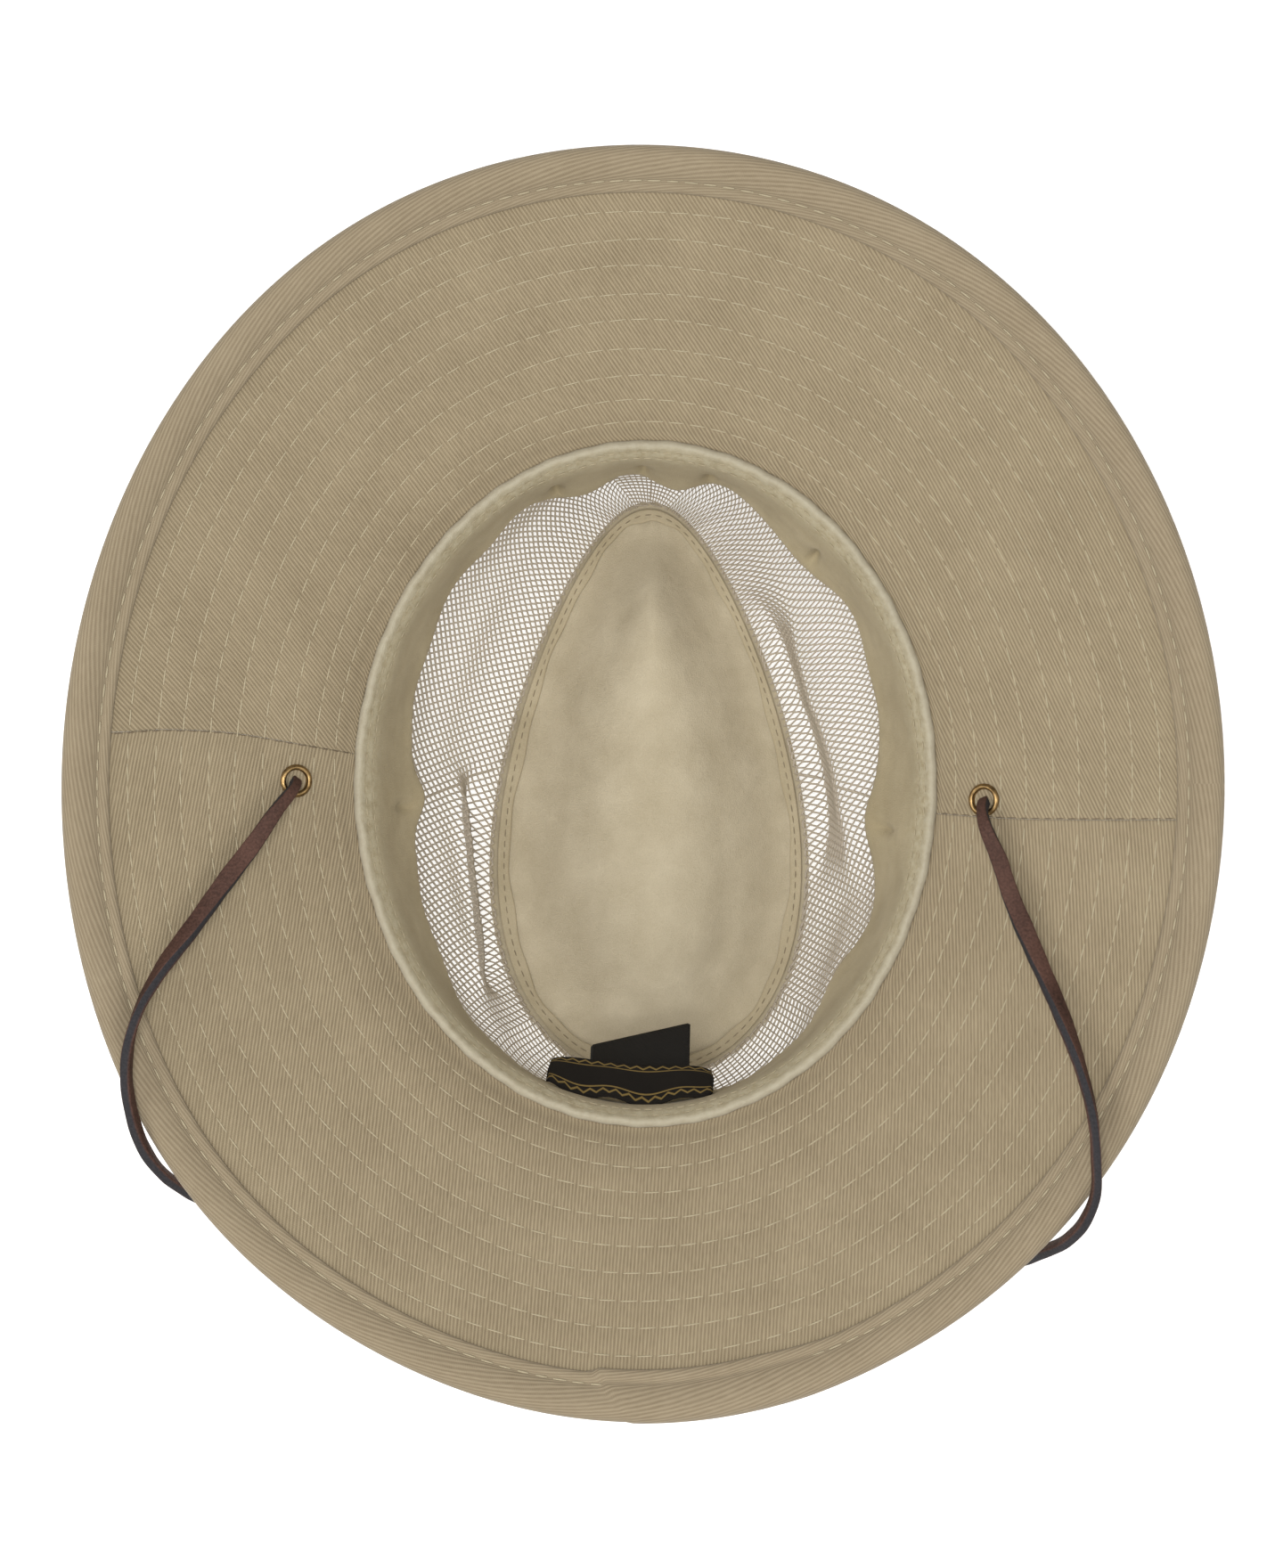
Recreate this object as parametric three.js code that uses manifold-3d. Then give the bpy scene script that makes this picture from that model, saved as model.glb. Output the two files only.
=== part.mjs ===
// A wide-brimmed safari hat of cotton twill with a net crown, as a three.js scene graph.
// It lies upside down, the way a hat is put down, on the crest of its crown.
// Millimetres, +Z up, the front of the hat towards +Y. Z is 0 where the crown rests.

import * as THREE from "three";
import { mergeVertices } from "three/addons/utils/BufferGeometryUtils.js";
import Module from "manifold-3d";

// Driving dimensions
const headWidth = 165; // inside the sweatband at the brim seam
const headLength = 195;
const crownHeight = 110; // crest of the crown to the brim seam
const tipWidth = 95; // the teardrop panel that closes the crown, across its middle
const tipLength = 180.2;
const tipSetBack = 2.6; // how far the tip's middle lies behind the head's
const tipSetAside = 2; // and how far it has sunk towards -X
const tipDent = 22; // depth of the crease along the tip
const tipEdgeLift = 3.5; // the tip's seam above the crest
const brimWidth = 88; // along the slope, binding included
const brimSlope = 24; // degrees
const bindingWidth = 13.4;
const sweatbandHeight = 38;
const sweatbandLip = 1.2; // how far the band's edge stands above the brim seam
const laceWidth = 5;
const laceThickness = 2.8;
const eyeletBore = 3.1; // radius
const eyeletFlange = 4.8; // radius
const labelWidth = 52;
const labelHeight = 19;
const tabWidth = 30;
const tabLength = 27;

// Walls and clearances
const brimThickness = 2;
const bindingThickness = 0.9;
const netThickness = 1;
const tipThickness = 1.2;
const foldThickness = 1;
const foldWidth = 3.6;
const sweatbandThickness = 1.5;
const eyeletWall = 0.5;
const labelThickness = 0.8;
const seamGap = 0.3;

// Facets
const ringSteps = 60;
const laceSteps = 78;
const laceBend = 22; // the stretch at each end that bends through an eyelet
const laceBendSteps = 10;
const eyeletSides = 16;
const labelSteps = 6;

// The brim is a little wider in these places: shares of its run outwards
const brimFullness = [
  { around: 62, spread: 34, more: 0.018 },
  { around: 122, spread: 28, more: 0.03 },
  { around: 218, spread: 24, more: 0.034 },
  { around: 268, spread: 26, more: 0.016 },
  { around: 322, spread: 24, more: 0.012 },
];

// Where the two brim panels meet, and where the eyelets sit: degrees round the hat, from +X towards +Y,
// and shares of the brim's run outwards
const rightSeamAngle = -5;
const leftSeamAngle = 175;
const eyelets = [
  { name: "left", around: 179.6, out: 0.2065 },
  { name: "right", around: -2.4, out: 0.1766 },
];

// The brim from its seam to its rim, as shares of its run outwards and of its rise
const brimSections = [
  { out: 0, up: 0 },
  { out: 0.02, up: 0.004 },
  { out: 0.06, up: 0.09 },
  { out: 0.14, up: 0.21 },
  { out: 0.3, up: 0.37 },
  { out: 0.52, up: 0.572 },
  { out: 0.76, up: 0.79 },
  { out: 1, up: 1 },
];

// The binding's outer face from its inner edge to the rim, and the fold inside it that holds the brim:
// places along it as shares of its width, and heights as shares of its fullness and of the held brim
const bindingFullness = 0.5;
const bindingSections = [
  { in: 1, full: 0, foldIn: 1, foldUp: 1 },
  { in: 0.45, full: 0.7, foldIn: 0.45, foldUp: 1 },
  { in: 0.2, full: 1, foldIn: 0.15, foldUp: 1 },
  { in: 0.07, full: -1.6, foldIn: 0.12, foldUp: 0.5 },
  { in: 0, full: 0, foldIn: 0.11, foldUp: 0 },
];
const bindingLap = { from: 266, to: 290, thickness: 0.5 };

// The net wall from the brim seam to the tip, as shares of its height and of the way in to the tip
const wallSections = [
  { down: 0, inwards: 0 },
  { down: 0.3, inwards: 0.03 },
  { down: 0.4, inwards: 0.08 },
  { down: 0.5, inwards: 0.17 },
  { down: 0.65, inwards: 0.36 },
  { down: 0.8, inwards: 0.6 },
  { down: 0.9, inwards: 0.79 },
  { down: 1, inwards: 1 },
];

// Soft dents in the net wall: the place round the hat and down the wall, their spreads,
// and the depth as a share of the crown's height
const wallDents = [
  { around: 28, spread: 30, down: 0.76, reach: 0.13, depth: 0.03 },
  { around: 205, spread: 30, down: 0.74, reach: 0.12, depth: 0.03 },
  { around: 150, spread: 14, down: 0.7, reach: 0.12, depth: 0.015 },
  { around: 95, spread: 26, down: 0.66, reach: 0.1, depth: 0.02 },
  { around: 325, spread: 16, down: 0.72, reach: 0.12, depth: 0.02 },
];

// The tip from its seam to its crease, as shares of the way in and of the dent,
// with a level crest that the hat rests on
const tipSections = [
  { out: 1, dent: 0, lift: 1 },
  { out: 0.95, dent: 0, lift: 0.25 },
  { out: 0.9, dent: 0, lift: 0 },
  { out: 0.82, dent: 0, lift: 0 },
  { out: 0.62, dent: 0.26, lift: 0 },
  { out: 0.34, dent: 0.74, lift: 0 },
  { out: 0, dent: 1, lift: 0 },
];
const tipNarrowing = 0.316; // how much narrower the teardrop is at the front than at the back
const creaseLength = 0.56; // the crease as a share of the tip's length

// The sweatband's free edge leans in by a share of its height, more at each of these places
const sweatbandLean = 0.095;
const sweatbandWaves = [
  { around: 4, spread: 39, lean: 0.27 },
  { around: 352, spread: 8, lean: 0.155 },
  { around: 54, spread: 13, lean: 0.19 },
  { around: 83.5, spread: 7, lean: 0.16 },
  { around: 103.5, spread: 7.5, lean: 0.125 },
  { around: 127, spread: 6, lean: 0.03 },
  { around: 182, spread: 49, lean: 0.21 },
  { around: 183, spread: 5.5, lean: 0.137 },
  { around: 236, spread: 21, lean: -0.09 },
  { around: 318, spread: 11, lean: 0.11 },
];
const sweatbandSections = [
  { down: 0, share: 0 },
  { down: 0.12, share: 0.03 },
  { down: 0.4, share: 0.26 },
  { down: 0.7, share: 0.6 },
  { down: 1, share: 1 },
];

// The chin lace from the left knot to the right one: its points, and the way its flat face looks
const laceRoute = [
  { at: [-101.2, 1.2, 117.2], face: [0.6, 0.8, -0.1] },
  { at: [-101, 0.8, 118.9], face: [0.6, 0.8, -0.1] },
  { at: [-100.6, 0.3, 121.1], face: [0.6, 0.8, 0] },
  { at: [-100.5, -0.6, 123.5], face: [0.7, 0.6, 0.3] },
  { at: [-101, -1.9, 125.9], face: [0.6, 0.3, 0.6] },
  { at: [-102.2, -3.7, 127.9], face: [0.5, 0, 0.9] },
  { at: [-103.8, -5.8, 129.3], face: [0.4, -0.1, 0.9] },
  { at: [-105.8, -8.6, 130.2], face: [0.3, 0, 1] },
  { at: [-110.8, -16.2, 132], face: [0.1, 0, 1] },
  { at: [-118.4, -26.8, 135.8], face: [-0.1, 0.1, 1] },
  { at: [-128.1, -40.9, 140.8], face: [-0.4, 0.3, 0.8] },
  { at: [-136.8, -53.4, 145.6], face: [-0.7, 0.4, 0.5] },
  { at: [-142.4, -64.4, 149.4], face: [-0.9, 0.3, 0.2] },
  { at: [-144.9, -73.6, 151.4], face: [-1, 0.2, 0] },
  { at: [-145.6, -82.7, 151.8], face: [-1, -0.1, -0.1] },
  { at: [-144.4, -93, 150], face: [-0.9, -0.2, -0.2] },
  { at: [-141.8, -102.8, 145.6], face: [-0.8, -0.4, -0.2] },
  { at: [-137.2, -111, 138.8], face: [-0.7, -0.6, -0.1] },
  { at: [-131.6, -116.6, 129.6], face: [-0.7, -0.7, -0.1] },
  { at: [-126.6, -121, 116], face: [-0.6, -0.8, 0] },
  { at: [-122, -125.4, 96], face: [-0.6, -0.8, 0] },
  { at: [-118.4, -129.4, 70], face: [-0.6, -0.8, 0] },
  { at: [-115.4, -132.8, 44], face: [-0.6, -0.8, 0] },
  { at: [-110.8, -136.8, 20], face: [-0.5, -0.8, -0.3] },
  { at: [-102, -141.6, 6], face: [-0.1, -0.4, -0.9] },
  { at: [-88, -146.2, 2], face: [0, 0, -1] },
  { at: [-68, -149.8, 1.7], face: [0, 0, -1] },
  { at: [-40, -150.6, 1.7], face: [0, 0, -1] },
  { at: [-8, -148.4, 1.7], face: [0, 0, -1] },
  { at: [24, -148.6, 1.7], face: [0, 0, -1] },
  { at: [52, -151.6, 1.7], face: [0, 0, -1] },
  { at: [74, -153.4, 2], face: [0, 0, -1] },
  { at: [88, -152.4, 6], face: [0.1, -0.3, -0.9] },
  { at: [97, -149.6, 20], face: [0.4, -0.8, -0.3] },
  { at: [101.4, -146.8, 44], face: [0.4, -0.9, 0] },
  { at: [104, -143.8, 70], face: [0.4, -0.9, 0] },
  { at: [106.6, -140.4, 96], face: [0.5, -0.8, 0] },
  { at: [109.8, -137, 116], face: [0.6, -0.8, 0] },
  { at: [115, -133.6, 129.6], face: [0.6, -0.8, -0.1] },
  { at: [120.8, -129.6, 139], face: [0.7, -0.7, -0.2] },
  { at: [125.4, -123.6, 146.4], face: [0.8, -0.5, -0.2] },
  { at: [128.2, -115.4, 151.2], face: [0.9, -0.3, -0.1] },
  { at: [128.2, -105.4, 152.6], face: [1, -0.1, 0] },
  { at: [127.4, -94, 150.6], face: [1, 0.2, 0.1] },
  { at: [124.3, -80.7, 146.2], face: [0.9, 0.2, 0.3] },
  { at: [119.2, -65.8, 141], face: [0.7, 0.2, 0.6] },
  { at: [111.6, -47.7, 135.2], face: [0.4, 0.1, 0.9] },
  { at: [105, -31.5, 131.2], face: [0, 0.1, 1] },
  { at: [101.4, -20.4, 128.4], face: [-0.1, 0.1, 1] },
  { at: [99, -14.9, 127.5], face: [-0.2, 0, 1] },
  { at: [98, -12.2, 126.9], face: [-0.2, 0, 1] },
  { at: [97.5, -10.1, 125.9], face: [-0.4, 0.2, 0.9] },
  { at: [97.3, -8.3, 124.4], face: [-0.4, 0.5, 0.7] },
  { at: [97.4, -6.6, 122.2], face: [-0.4, 0.8, 0.3] },
  { at: [97.9, -5.5, 119.9], face: [-0.4, 0.9, 0] },
  { at: [98.4, -4.8, 117.8], face: [-0.4, 0.9, 0] },
  { at: [98.8, -4.2, 116.3], face: [-0.4, 0.9, 0] },
];

// Places that the pieces share
const zSeam = crownHeight;
const runOut = brimWidth * Math.cos(THREE.MathUtils.degToRad(brimSlope));
const riseUp = brimWidth * Math.sin(THREE.MathUtils.degToRad(brimSlope));
const brimEdgeX = headWidth / 2 + sweatbandThickness + seamGap;
const brimEdgeY = headLength / 2 + sweatbandThickness + seamGap;
const tipTop = tipEdgeLift + tipThickness;

const radians = THREE.MathUtils.degToRad;

// The step angles of a ring, or of a stretch of one, in degrees
function stepAngles(from, to, steps, closed) {
  const count = closed ? steps : steps + 1;
  return Array.from({ length: count }, (unused, i) => from + ((to - from) * i) / steps);
}

// How strongly a dent or wave that is centred at one place is felt at another, from 0 to 1
function nearness(around, centre, spread) {
  const apart = THREE.MathUtils.euclideanModulo(around - centre + 180, 360) - 180;
  return Math.exp(-((apart / spread) ** 2));
}

// A triangle soup made one closed solid, with its faces pointing out
function solidGeometry(position) {
  let volume = 0;
  const corner = [0, 1, 2].map(() => new THREE.Vector3());
  for (let i = 0; i < position.length; i += 9) {
    corner.forEach((c, k) => c.fromArray(position, i + 3 * k));
    volume += corner[0].dot(corner[1].clone().cross(corner[2]));
  }
  if (volume < 0) {
    for (let i = 0; i < position.length; i += 9) {
      for (let k = 0; k < 3; k += 1) {
        [position[i + k], position[i + 3 + k]] = [position[i + 3 + k], position[i + k]];
      }
    }
  }
  const geometry = new THREE.BufferGeometry();
  geometry.setAttribute("position", new THREE.Float32BufferAttribute(position, 3));
  return geometry;
}

// A wall swept through sections, each a front and a back line of paired points.
// A closed wall comes back to its first section, and one that meets has its last points on a common line.
function sweptWall(sections, { closed = false, meets = false } = {}) {
  const position = [];
  const last = sections[0].front.length - 1;
  const quad = (a, b, c, d) => {
    for (const p of [a, b, c, a, c, d]) {
      position.push(p.x, p.y, p.z);
    }
  };
  const spans = closed ? sections.length : sections.length - 1;
  for (let i = 0; i < spans; i += 1) {
    const near = sections[i];
    const far = sections[(i + 1) % sections.length];
    for (let k = 0; k < last; k += 1) {
      quad(near.front[k], far.front[k], far.front[k + 1], near.front[k + 1]);
      quad(near.back[k + 1], far.back[k + 1], far.back[k], near.back[k]);
    }
    quad(near.back[0], far.back[0], far.front[0], near.front[0]);
    if (!meets) {
      quad(near.front[last], far.front[last], far.back[last], near.back[last]);
    }
  }
  if (!closed) {
    const start = sections[0];
    const end = sections[sections.length - 1];
    for (let k = 0; k < last; k += 1) {
      quad(start.front[k], start.front[k + 1], start.back[k + 1], start.back[k]);
      quad(end.front[k + 1], end.front[k], end.back[k], end.back[k + 1]);
    }
  }
  return solidGeometry(position);
}

// The sheet of a surface at one place round the hat, with its thickness laid half to each side of it
function sheetSection(surface, around, shares, thickness) {
  const front = [];
  const back = [];
  for (const share of shares) {
    const normal = surfaceNormal(surface, around, share);
    const middle = surface(around, share);
    front.push(middle.clone().addScaledVector(normal, thickness / 2));
    back.push(middle.clone().addScaledVector(normal, -thickness / 2));
  }
  return { front, back };
}

// The normal of a surface, by small steps along and across it
function surfaceNormal(surface, around, share) {
  const step = 0.01;
  const before = Math.max(0, share - step);
  const after = Math.min(1, share + step);
  const along = surface(around + step, share).sub(surface(around - step, share));
  const across = surface(around, after).sub(surface(around, before));
  return along.cross(across).normalize();
}

// A value read from a table of sections, straight between its rows
function fromTable(table, key, value, share) {
  const next = Math.max(1, table.findIndex((row) => row[key] >= share));
  const low = table[next - 1];
  const high = table[next];
  return THREE.MathUtils.mapLinear(share, low[key], high[key], low[value], high[value]);
}

// Materials
function cloth(color, roughness = 0.95) {
  return new THREE.MeshStandardMaterial({ color, roughness, metalness: 0 });
}

const twill = cloth(0xa29279);
const twillBinding = cloth(0xa0917a);
const net = cloth(0xb9ab92, 0.85);
const lining = cloth(0xb8ac90);
const bandCotton = cloth(0xad9f80);
const brass = new THREE.MeshStandardMaterial({ color: 0xa9824b, roughness: 0.35, metalness: 1 });
const laceLeather = cloth(0x4a342b, 0.7);
const wovenLabel = cloth(0x1c1812, 0.8);

// Brim
// The brim's middle surface: around in degrees, and the share of its run from the seam
function brimSurface(around, share) {
  const angle = radians(around);
  const fullness = brimFullness.reduce((sum, b) => sum + b.more * nearness(around, b.around, b.spread), 1);
  const out = runOut * share * fullness;
  const up = riseUp * fromTable(brimSections, "out", "up", share);
  return new THREE.Vector3(
    (brimEdgeX + out) * Math.cos(angle),
    (brimEdgeY + out) * Math.sin(angle),
    zSeam - brimThickness / 2 + up,
  );
}

// One half of the brim, from seam to seam. Its edge is held in the binding's fold.
function brimPanel(from, to, fold) {
  const halfGap = THREE.MathUtils.radToDeg(seamGap / 2 / brimEdgeX);
  const edge = 1 - fold / runOut;
  const shares = brimSections.map((row) => row.out * edge);
  const angles = stepAngles(from + halfGap, to - halfGap, ringSteps / 2, false);
  return sweptWall(angles.map((a) => sheetSection(brimSurface, a, shares, brimThickness)));
}

// Binding
// Its section round the rim, in the rim's own frame: along the brim from the rim, and across the brim
function bindingSection(around) {
  const rim = brimSurface(around, 1);
  const inwards = brimSurface(around, 0.9).sub(rim).normalize();
  const normal = surfaceNormal(brimSurface, around, 1);
  const held = brimThickness / 2 + seamGap;
  const inLap = around > bindingLap.from && around < bindingLap.to;
  const face = held + bindingThickness + (inLap ? bindingLap.thickness : 0);
  const place = (along, across) => {
    const point = rim.clone().addScaledVector(inwards, bindingWidth * along);
    return point.addScaledVector(normal, across);
  };
  const rows = bindingSections.map((row) => ({ ...row, faceUp: face + bindingFullness * row.full }));
  rows.at(-1).faceUp = 0;
  const under = rows.slice(0, -1).toReversed();
  const front = rows.map((row) => place(row.in, row.faceUp));
  const back = rows.map((row) => place(row.foldIn, held * row.foldUp));
  front.push(...under.map((row) => place(row.in, -row.faceUp)));
  back.push(...under.map((row) => place(row.foldIn, -held * row.foldUp)));
  return { front, back };
}

// Crown
// The teardrop outline of the tip, brought in by a margin
function tipOutline(around, margin = 0) {
  const angle = radians(around);
  const halfWidth = tipWidth / 2 - margin;
  const halfLength = tipLength / 2 - margin;
  return new THREE.Vector3(
    halfWidth * Math.cos(angle) * (1 - tipNarrowing * Math.sin(angle)) - tipSetAside,
    halfLength * Math.sin(angle) - tipSetBack,
    0,
  );
}

// The net wall's middle surface, from under the brim seam to the top of the tip's edge
function wallSurface(around, share) {
  const angle = radians(around);
  const halfWall = netThickness / 2;
  const seat = new THREE.Vector3((brimEdgeX + halfWall) * Math.cos(angle), (brimEdgeY + halfWall) * Math.sin(angle), 0);
  const inwards = fromTable(wallSections, "down", "inwards", share);
  const top = zSeam - brimThickness - seamGap;
  const foot = tipTop + seamGap;
  const point = seat.lerp(tipOutline(around, netThickness), inwards);
  let dent = 0;
  for (const d of wallDents) {
    dent += d.depth * nearness(around, d.around, d.spread) * Math.exp(-(((share - d.down) / d.reach) ** 2));
  }
  const reach = Math.hypot(point.x, point.y);
  point.multiplyScalar(1 - (dent * crownHeight) / reach);
  point.z = THREE.MathUtils.lerp(top, foot, share);
  return point;
}

// The tip's lower face at a share of the way out from its crease to its seam
function tipPoint(around, row) {
  const angle = radians(around);
  const crease = new THREE.Vector3(0, (tipLength / 2) * creaseLength * Math.sin(angle) - tipSetBack, 0);
  const point = crease.lerp(tipOutline(around), row.out);
  point.z = tipDent * row.dent + tipEdgeLift * row.lift;
  return point;
}

function tipSection(around) {
  const front = tipSections.map((row) => tipPoint(around, row));
  const back = front.map((p) => p.clone().setZ(p.z + tipThickness));
  return { front, back };
}

// The turned seam allowance that lies inside the tip, along its edge
function foldSection(around) {
  const share = (width) => 1 - (2 * width) / tipWidth;
  const start = netThickness * 2 + seamGap;
  const widths = [start, start + foldWidth];
  const place = (width, height) => {
    const out = share(width);
    const next = Math.max(1, tipSections.findIndex((row) => row.out <= out));
    const [high, low] = [tipSections[next - 1], tipSections[next]];
    const blend = (out - low.out) / (high.out - low.out);
    const row = { out };
    row.dent = THREE.MathUtils.lerp(low.dent, high.dent, blend);
    row.lift = THREE.MathUtils.lerp(low.lift, high.lift, blend);
    const point = tipPoint(around, row);
    point.z += tipThickness + seamGap + height;
    return point;
  };
  const front = widths.map((w) => place(w, 0));
  const back = widths.map((w) => place(w, foldThickness));
  return { front, back };
}

// Sweatband
function sweatbandSurface(around, share) {
  const angle = radians(around);
  let lean = sweatbandLean;
  for (const wave of sweatbandWaves) {
    lean += wave.lean * nearness(around, wave.around, wave.spread);
  }
  const inwards = sweatbandHeight * lean * fromTable(sweatbandSections, "down", "share", share);
  const middle = sweatbandThickness / 2;
  const point = new THREE.Vector3(
    (headWidth / 2 + middle) * Math.cos(angle),
    (headLength / 2 + middle) * Math.sin(angle),
    0,
  );
  point.multiplyScalar(1 - inwards / Math.hypot(point.x, point.y));
  point.z = zSeam + sweatbandLip - sweatbandHeight * share;
  return point;
}

// Labels on the back of the sweatband
const labelAngle = 266.2; // degrees round the hat
const labelTop = 0.42; // share of the band's height between its seam and the label's upper edge
const tabLean = 0.42; // how far the tab leans in for each millimetre that it hangs
const tabTwist = 0.012; // how much more of that, for each degree round the hat
const tabAngle = 267.8;

// A woven label that follows the sweatband's inner face from one share of its height to another
function labelSection(around, from, to) {
  const front = [];
  const back = [];
  const off = sweatbandThickness / 2 + seamGap;
  for (const share of [from, (from + to) / 2, to]) {
    const normal = surfaceNormal(sweatbandSurface, around, share);
    const inwards = normal.x * Math.cos(radians(around)) + normal.y * Math.sin(radians(around)) > 0 ? -1 : 1;
    const middle = sweatbandSurface(around, share);
    front.push(middle.clone().addScaledVector(normal, inwards * off));
    back.push(middle.clone().addScaledVector(normal, inwards * (off + labelThickness)));
  }
  return { front, back };
}

// The care tab hangs from the band's free edge into the crown, over a stretch of the ring
function tabSection(around, middleAround) {
  const start = sweatbandSurface(around, 1);
  const front = [];
  const back = [];
  const inwards = new THREE.Vector3(0, 1, 0);
  const lean = tabLean + (around - middleAround) * tabTwist;
  for (const share of [0, 0.5, 1]) {
    const hang = tabLength * share;
    const point = start.clone().addScaledVector(inwards, hang * lean + sweatbandThickness);
    point.z -= seamGap + hang * Math.sqrt(1 - tabLean ** 2);
    front.push(point);
    back.push(point.clone().addScaledVector(inwards, labelThickness));
  }
  return { front, back };
}

// Eyelets
// The frame of an eyelet: its middle on the brim, and its axis square to the brim
function eyeletFrame(eyelet) {
  const middle = brimSurface(eyelet.around, eyelet.out);
  const axis = surfaceNormal(brimSurface, eyelet.around, eyelet.out);
  if (axis.z < 0) {
    axis.negate();
  }
  const turn = new THREE.Quaternion().setFromUnitVectors(new THREE.Vector3(0, 0, 1), axis);
  return { middle, axis, turn };
}

// A barrel with a flange on each face of the brim, turned from one profile
function eyeletGeometry() {
  const face = brimThickness / 2 + seamGap;
  const lip = face + eyeletWall * 1.6;
  const barrel = eyeletBore + eyeletWall;
  const crown = (eyeletBore + eyeletFlange) / 2;
  const profile = [
    [eyeletBore, -lip * 0.8],
    [crown, -lip],
    [eyeletFlange, -face - eyeletWall * 0.4],
    [eyeletFlange, -face],
    [barrel, -face],
    [barrel, face],
    [eyeletFlange, face],
    [eyeletFlange, face + eyeletWall * 0.4],
    [crown, lip],
    [eyeletBore, lip * 0.8],
  ].map(([r, z]) => new THREE.Vector2(r, z));
  profile.push(profile[0].clone());
  const geometry = new THREE.LatheGeometry(profile, eyeletSides);
  geometry.rotateX(Math.PI / 2);
  return geometry;
}

// The hole that an eyelet's barrel passes through, as a cutting body
function eyeletHole(eyelet) {
  const { middle, turn } = eyeletFrame(eyelet);
  const radius = eyeletBore + eyeletWall + seamGap;
  const hole = new THREE.CylinderGeometry(radius, radius, brimThickness * 6, eyeletSides);
  hole.rotateX(Math.PI / 2);
  hole.applyQuaternion(turn);
  hole.translate(middle.x, middle.y, middle.z);
  return hole;
}

// Chin lace
// A route whose sections keep the lace's flat face turned the way that its points say
class LaceCurve extends THREE.CatmullRomCurve3 {
  constructor(route) {
    super(route.map((p) => new THREE.Vector3(...p.at)), false, "centripetal");
    this.faces = new THREE.CatmullRomCurve3(route.map((p) => new THREE.Vector3(...p.face)));
  }

  // The sections' places along the lace, closer together at its ends, where it bends through the eyelets
  sectionPlaces(segments) {
    const end = laceBend / this.getLength();
    const middle = (1 - 2 * end) / (segments - 2 * laceBendSteps);
    return Array.from({ length: segments + 1 }, (unused, i) => {
      const fromEnd = Math.min(i, segments - i);
      const place = (Math.min(fromEnd, laceBendSteps) * end) / laceBendSteps;
      const share = place + Math.max(0, fromEnd - laceBendSteps) * middle;
      return i === fromEnd ? share : 1 - share;
    });
  }

  getSpacedPoints(segments) {
    return this.sectionPlaces(segments).map((along) => this.getPointAt(along));
  }

  computeFrenetFrames(segments) {
    const frames = { tangents: [], normals: [], binormals: [] };
    for (const along of this.sectionPlaces(segments)) {
      const tangent = this.getTangentAt(along);
      const face = this.faces.getPoint(this.getUtoTmapping(along));
      const across = face.cross(tangent).normalize();
      frames.tangents.push(tangent);
      frames.normals.push(across);
      frames.binormals.push(tangent.clone().cross(across));
    }
    return frames;
  }
}

// A flat lace with its corners taken off
function laceShape() {
  const w = laceWidth / 2;
  const h = laceThickness / 2;
  const c = laceThickness / 4;
  const corners = [[w, h - c], [w - c, h], [c - w, h], [-w, h - c], [-w, c - h], [c - w, -h], [w - c, -h], [w, c - h]];
  return new THREE.Shape(corners.map(([x, y]) => new THREE.Vector2(x, y)));
}

// The knot that stops the lace behind its eyelet
function knotGeometry() {
  return new THREE.SphereGeometry(1, 10, 6);
}

// Booleans
const wasm = await Module();
wasm.setup();

function toManifold(geometry) {
  const bare = geometry.index ? geometry.toNonIndexed() : geometry.clone();
  bare.deleteAttribute("normal");
  bare.deleteAttribute("uv");
  const merged = mergeVertices(bare, 1e-3);
  const vertProperties = merged.attributes.position.array;
  const triVerts = new Uint32Array(merged.index.array);
  return new wasm.Manifold(new wasm.Mesh({ numProp: 3, vertProperties, triVerts }));
}

function fromManifold(solid) {
  const mesh = solid.getMesh();
  const geometry = new THREE.BufferGeometry();
  geometry.setAttribute("position", new THREE.BufferAttribute(mesh.vertProperties, 3));
  geometry.setIndex(new THREE.BufferAttribute(mesh.triVerts, 1));
  return geometry;
}

function withEyeletHoles(panel) {
  let solid = toManifold(panel);
  for (const eyelet of eyelets) {
    solid = solid.subtract(toManifold(eyeletHole(eyelet)));
  }
  return fromManifold(solid);
}

// The hat
const hat = new THREE.Group();

function add(name, geometry, material) {
  const mesh = new THREE.Mesh(geometry, material);
  mesh.name = name;
  hat.add(mesh);
  return mesh;
}

const ring = stepAngles(0, 360, ringSteps, true);
const brimFold = bindingWidth * bindingSections.at(-3).foldIn + seamGap;

add("brim_front", withEyeletHoles(brimPanel(rightSeamAngle, leftSeamAngle, brimFold)), twill);
add("brim_back", withEyeletHoles(brimPanel(leftSeamAngle, rightSeamAngle + 360, brimFold)), twill);
add("brim_binding", sweptWall(ring.map(bindingSection), { closed: true }), twillBinding);

const wallShares = wallSections.map((row) => row.down);
const wallRing = ring.map((a) => sheetSection(wallSurface, a, wallShares, netThickness));
add("crown_net", sweptWall(wallRing, { closed: true }), net);
add("crown_tip", sweptWall(ring.map(tipSection), { closed: true, meets: true }), lining);
add("tip_seam_fold", sweptWall(ring.map(foldSection), { closed: true }), lining);

const bandShares = sweatbandSections.map((row) => row.down);
const bandRing = ring.map((a) => sheetSection(sweatbandSurface, a, bandShares, sweatbandThickness));
add("sweatband", sweptWall(bandRing, { closed: true }), bandCotton);

const degreesWide = (width) => THREE.MathUtils.radToDeg(width / (headWidth / 2));
const labelHalf = degreesWide(labelWidth) / 2;
const labelAngles = stepAngles(labelAngle - labelHalf, labelAngle + labelHalf, labelSteps, false);
const labelSpan = [labelTop, labelTop + labelHeight / sweatbandHeight];
add("woven_label", sweptWall(labelAngles.map((a) => labelSection(a, ...labelSpan))), wovenLabel);

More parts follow.
